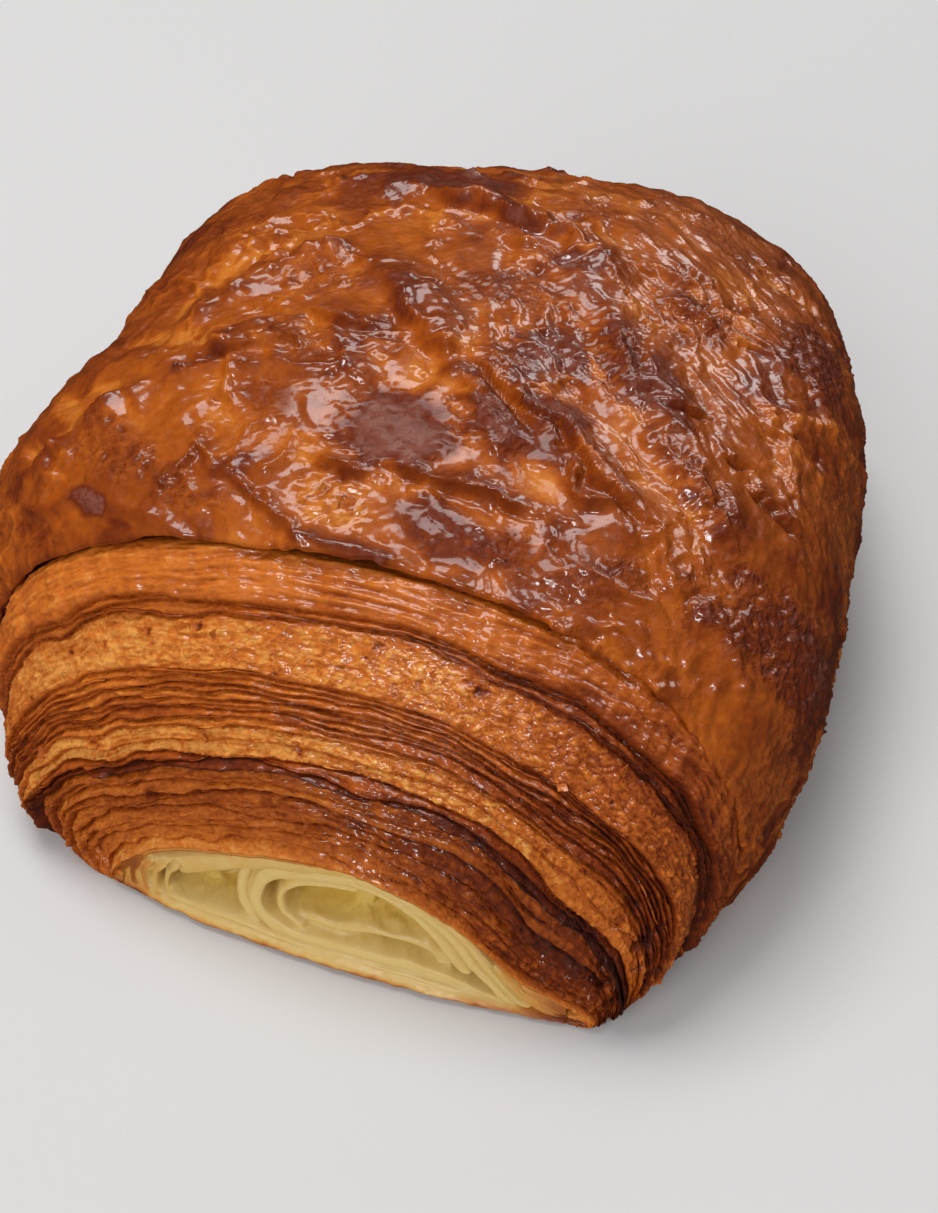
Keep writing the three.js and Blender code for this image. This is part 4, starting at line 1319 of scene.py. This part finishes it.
def buildSole(material):
    along = np.linspace(-1.0, 1.0, sole["rows"])
    left, right = (smoothLoaf(np.full_like(along, share), along) for share in (0.0, 1.0))
    t = np.linspace(0.0, 1.0, sole["columns"])
    flat = lerp(left[:, None, :], right[:, None, :], t[:, None])
    middle = flat.mean(axis=(0, 1))[:2]
    smaller = 1.0 - np.array([sole["inset"], sole["endInset"]]) / 50.0
    flat[..., :2] = lerp(middle, flat[..., :2], smaller)
    atEnd = np.sign(along) * smoothStep(np.abs(along), 0.86, 1.0)
    flat[..., 1] += atEnd[:, None] * mouthBow(flat[..., 0] - loaf["shiftX"])
    fromSide = np.minimum(t, 1.0 - t) * np.linalg.norm(right - left, axis=1)[:, None]
    edge = np.minimum(fromSide, (1.0 - np.abs(along))[:, None] * loaf["halfLength"])
    roundness = 1.0 - limited(edge / sole["roundEdge"])
    roundEdge = sole["roundEdge"] * (1.0 - np.sqrt(1.0 - roundness ** 2))
    pits = smoothStep(layeredNoise(flat, 5.0, 501, 4, 0.55), 0.02, 0.35) * smoothStep(edge, 2.0, 6.0)
    under, over = flat.copy(), flat.copy()
    under[..., 2] = roundEdge + sole["dimple"] * pits
    over[..., 2] = sole["thickness"] - roundEdge
    below = gridIndex(*edge.shape)
    above = below + below.size
    border = np.concatenate([below[0], below[1:, -1], below[-1, -2::-1], below[-2:0:-1, 0]])
    following = np.roll(border, -1)
    wall = np.stack([border, following, following + below.size, border + below.size], axis=-1)
    faces = [face[::-1] for face in gridQuads(below)] + gridQuads(above) + wall.tolist()
    tone = 0.46 + 0.22 * layeredNoise(flat, 16.0, 511, 4) - 0.30 * pits
    tone = tone + 0.18 * (1.0 - smoothStep(edge, 0.0, 3.0))
    bake = np.stack([limited(tone), np.full_like(edge, sole["overBake"])]).ravel()
    rough = np.stack([0.5 + 0.5 * pits, np.full_like(edge, sole["overRough"])]).ravel()
    points = np.stack([under, over]).reshape(-1, 3)
    print("sole", len(faces), "faces")
    settle(makeMesh("sole", points, faces, material, {"bake": bake, "rough": rough, "matt": rough}))


# Finishes: colours by how far the dough is baked, and what lies on it
crustFinish = {
    "ramp": [
        (0.00, (0.70, 0.30, 0.060)),
        (0.22, (0.60, 0.175, 0.018)),
        (0.42, (0.42, 0.088, 0.005)),
        (0.60, (0.27, 0.048, 0.003)),
        (0.80, (0.15, 0.020, 0.003)),
        (1.00, (0.23, 0.068, 0.042)),
    ],
    "speckleScale": 1400.0,
    "speckle": 0.20,
    "roughness": 0.42,
    "coat": 0.75,
    "coatRoughness": 0.165,
    "bumpDepth": 0.00016,
    "wrinkleScale": 900.0,
    "creaseScale": 950.0,
    "creaseHeight": 1.7,
}

soleFinish = {
    "ramp": [
        (0.00, (0.74, 0.44, 0.15)),
        (0.25, (0.58, 0.25, 0.055)),
        (0.50, (0.36, 0.115, 0.02)),
        (0.75, (0.17, 0.042, 0.008)),
        (1.00, (0.06, 0.018, 0.008)),
    ],
    "speckleScale": 900.0,
    "speckle": 0.25,
    "roughness": 0.6,
    "coat": 0.1,
    "coatRoughness": 0.4,
    "bumpDepth": 0.0003,
    "wrinkleScale": 800.0,
    "creaseHeight": 0.0,     # no film
}

layersFinish = {
    "ramp": [
        (0.00, (0.82, 0.33, 0.062)),
        (0.22, (0.62, 0.160, 0.016)),
        (0.45, (0.42, 0.086, 0.007)),
        (0.65, (0.22, 0.034, 0.003)),
        (0.82, (0.12, 0.018, 0.004)),
        (1.00, (0.05, 0.012, 0.008)),
    ],
    "speckleScale": 1700.0,
    "speckle": 0.22,
    "roughness": 0.45,
    "coat": 0.8,
    "coatRoughness": 0.18,
    "bumpDepth": 0.0003,
    "wrinkleScale": 1100.0,
    "creaseScale": 1300.0,
    "creaseHeight": 0.8,
}


def readField(tree, name):
    return addNode(tree, "ShaderNodeAttribute", {"attribute_name": name}).outputs["Fac"]


def newMaterial(name):
    material = bpy.data.materials.new(name)
    material.use_nodes = True
    return material, material.node_tree, material.node_tree.nodes["Principled BSDF"]


def bakeRamp(tree, stops, level):
    ramp = addNode(tree, "ShaderNodeValToRGB", Fac=level)
    elements = ramp.color_ramp.elements
    while len(elements) < len(stops):
        elements.new(0.5)
    for element, (spot, colour) in zip(elements, stops):
        element.position = spot
        element.color = (*colour, 1.0)
    return ramp.outputs["Color"]


# The field with fine noise on it, as a colour
def bakedColour(tree, field, spot, finish):
    speckle = addNode(tree, "ShaderNodeTexNoise", Vector=spot, Scale=finish["speckleScale"], Detail=5.0)
    amount = finish["speckle"]
    shift = mathNode(tree, "MULTIPLY_ADD", speckle.outputs["Fac"], amount, -0.5 * amount)
    return bakeRamp(tree, finish["ramp"], mathNode(tree, "ADD", readField(tree, field), shift))


# Creased film: flat facets whose corners are shaken out of line
def creasedFilm(tree, spot, scale):
    shift = addNode(tree, "ShaderNodeTexNoise", Vector=spot, Scale=0.8 * scale, Detail=2.0).outputs["Color"]
    shaken = vectorMath(tree, "MULTIPLY_ADD", shift, (1.3 / scale, 1.3 / scale, 1.3 / scale), spot)
    squares = []
    for feature in ("F2", "F1"):
        cells = addNode(tree, "ShaderNodeTexVoronoi", {"feature": feature}, Vector=shaken, Scale=scale)
        squares.append(mathNode(tree, "POWER", cells.outputs["Distance"], 2.0))
    return mathNode(tree, "SUBTRACT", *squares)


def bakedMaterial(name, finish):
    material, tree, shader = newMaterial(name)
    spot = tree.nodes.new("ShaderNodeTexCoord").outputs["Object"]
    wrinkle = addNode(tree, "ShaderNodeTexNoise", Vector=spot, Scale=finish["wrinkleScale"],
                      Detail=4.0, Distortion=0.6)
    rough = readField(tree, "rough")
    stronger = mathNode(tree, "MULTIPLY_ADD", rough, 1.2, 0.34)
    height = mathNode(tree, "MULTIPLY", wrinkle.outputs["Fac"], stronger)
    if finish["creaseHeight"]:
        depth = finish["creaseHeight"]
        creased = mathNode(tree, "MULTIPLY_ADD", rough, -0.75 * depth, -0.25 * depth)
        facet = creasedFilm(tree, spot, finish["creaseScale"])
        height = mathNode(tree, "MULTIPLY_ADD", facet, creased, height)
    relief = addNode(tree, "ShaderNodeBump", Strength=1.0, Distance=finish["bumpDepth"], Height=height)
    coat = mathNode(tree, "MULTIPLY_ADD", readField(tree, "matt"), -finish["coat"], finish["coat"])
    setSockets(tree, shader, BaseColor=bakedColour(tree, "bake", spot, finish),
               Normal=relief.outputs["Normal"],
               Roughness=mathNode(tree, "MULTIPLY_ADD", rough, 0.12, finish["roughness"]),
               CoatWeight=coat, CoatRoughness=finish["coatRoughness"], SpecularIORLevel=0.12)
    return material


doughFinish = {
    "ramp": [
        (0.00, (0.74, 0.53, 0.185)),
        (0.18, (0.69, 0.41, 0.10)),
        (0.40, (0.64, 0.27, 0.050)),
        (0.65, (0.42, 0.13, 0.016)),
        (1.00, (0.22, 0.045, 0.008)),
    ],
    "speckleScale": 500.0,
    "speckle": 0.16,
    "deepColour": (0.92, 0.87, 0.45, 1.0),
    "roughness": 0.42,
    "coat": 0.25,
    "coatRoughness": 0.3,
    "silkScale": 260.0,
    "bumpDepth": 0.0005,
    "translucency": 0.22,
}


def doughMaterial():
    material, tree, shader = newMaterial("doughFinish")
    spot = tree.nodes.new("ShaderNodeTexCoord").outputs["Object"]
    # painted shade: the colour is multiplied darker and more olive where the dough lies deep in the pockets
    mix = addNode(tree, "ShaderNodeMix", {"data_type": "RGBA", "blend_type": "MULTIPLY"},
                  Factor=readField(tree, "deep"), A=bakedColour(tree, "toast", spot, doughFinish),
                  B=doughFinish["deepColour"])
    silk = addNode(tree, "ShaderNodeTexNoise", Vector=spot, Scale=doughFinish["silkScale"],
                   Detail=6.0, Distortion=0.8)
    relief = addNode(tree, "ShaderNodeBump", Strength=0.6, Distance=doughFinish["bumpDepth"],
                     Height=silk.outputs["Fac"])
    setSockets(tree, shader, BaseColor=mix.outputs[2], Normal=relief.outputs["Normal"],
               Roughness=doughFinish["roughness"], CoatWeight=doughFinish["coat"],
               CoatRoughness=doughFinish["coatRoughness"], SubsurfaceWeight=doughFinish["translucency"],
               SubsurfaceRadius=(1.0, 0.6, 0.25), SubsurfaceScale=0.0012)
    return material


# Floor, light and camera
stageSettings = {
    "floorSize": 3.0,
    "floorColour": (0.69, 0.678, 0.67, 1.0),
    "worldColour": (0.95, 0.97, 1.0, 1.0),
    "worldStrength": 0.30,
    "worldMirrored": 0.012,  # how bright the room is in reflections
    "aim": (0, 0, 0.03),
    "lights": [              # name, place, size, power, lights the surface, seen in reflections
        ("window", (-0.22, 0.22, 1.00), 0.50, 6.4, True, True),
        ("fill", (-0.26, -1.00, 0.66), 0.90, 7.4, True, False),
        ("sparkle", (-0.10, -0.75, 0.85), 0.14, 3.3, False, True),
        ("ceiling", (0.52, 0.32, 0.82), 0.36, 3.3, False, True),
        ("wall", (0.30, 0.85, 0.60), 0.30, 2.1, False, True),
    ],
}

cameraSettings = {
    "place": (0.03753, -0.16003, 0.162),  # metres
    "azimuth": 12.0,
    "pitch": 44.3,
    "sensor": 36.0,
    "focal": 1878.0,         # in pixels of the 938 x 1213 frame
    "frameHeight": 1213.0,
}


def makeFloor():
    size = stageSettings["floorSize"]
    mesh = bpy.data.meshes.new("floor")
    corners = [(-size, -size, 0), (size, -size, 0), (size, size, 0), (-size, size, 0)]
    mesh.from_pydata(corners, [], [(0, 1, 2, 3)])
    material, tree, shader = newMaterial("floorFinish")
    setSockets(tree, shader, BaseColor=stageSettings["floorColour"], Roughness=0.9)
    mesh.materials.append(material)
    floor = addObject("floor", mesh)
    floor.visible_glossy = False


def makeRoom():
    world = bpy.data.worlds.new("room")
    bpy.context.scene.world = world
    world.use_nodes = True
    tree = world.node_tree
    rays = tree.nodes.new("ShaderNodeLightPath")
    strength = addNode(tree, "ShaderNodeMix", Factor=rays.outputs["Is Glossy Ray"],
                       A=stageSettings["worldStrength"], B=stageSettings["worldMirrored"])
    setSockets(tree, tree.nodes["Background"], Color=stageSettings["worldColour"],
               Strength=strength.outputs[0])


def aimAlong(item, direction):
    item.rotation_euler = direction.to_track_quat("-Z", "Y").to_euler()


def makeLights():
    for name, spot, size, power, diffuse, mirrored in stageSettings["lights"]:
        light = bpy.data.lights.new(name, "AREA")
        light.size = size
        light.energy = power
        lamp = addObject(name, light)
        lamp.location = spot
        aimAlong(lamp, Vector(stageSettings["aim"]) - lamp.location)
        lamp.visible_diffuse = lamp.visible_transmission = diffuse
        lamp.visible_glossy = mirrored


def makeCamera():
    azimuth, pitch = math.radians(cameraSettings["azimuth"]), math.radians(cameraSettings["pitch"])
    data = bpy.data.cameras.new("camera")
    data.sensor_width = cameraSettings["sensor"]
    data.lens = cameraSettings["sensor"] * cameraSettings["focal"] / cameraSettings["frameHeight"]
    data.clip_start = 0.01
    camera = addObject("camera", data)
    camera.location = cameraSettings["place"]
    level = math.cos(pitch)
    aimAlong(camera, Vector((-math.sin(azimuth) * level, math.cos(azimuth) * level, -math.sin(pitch))))
    bpy.context.scene.camera = camera


makeFloor()
makeRoom()
makeLights()
makeCamera()
bpy.context.scene.view_settings.view_transform = "Standard"
layersLook, doughLook = bakedMaterial("layersFinish", layersFinish), doughMaterial()
buildCrust(bakedMaterial("crustFinish", crustFinish))
for end in (-1, 1):
    buildLayers(end, layersLook)
    buildMouth(end, doughLook)
buildSole(bakedMaterial("soleFinish", soleFinish))
print("pieces done")
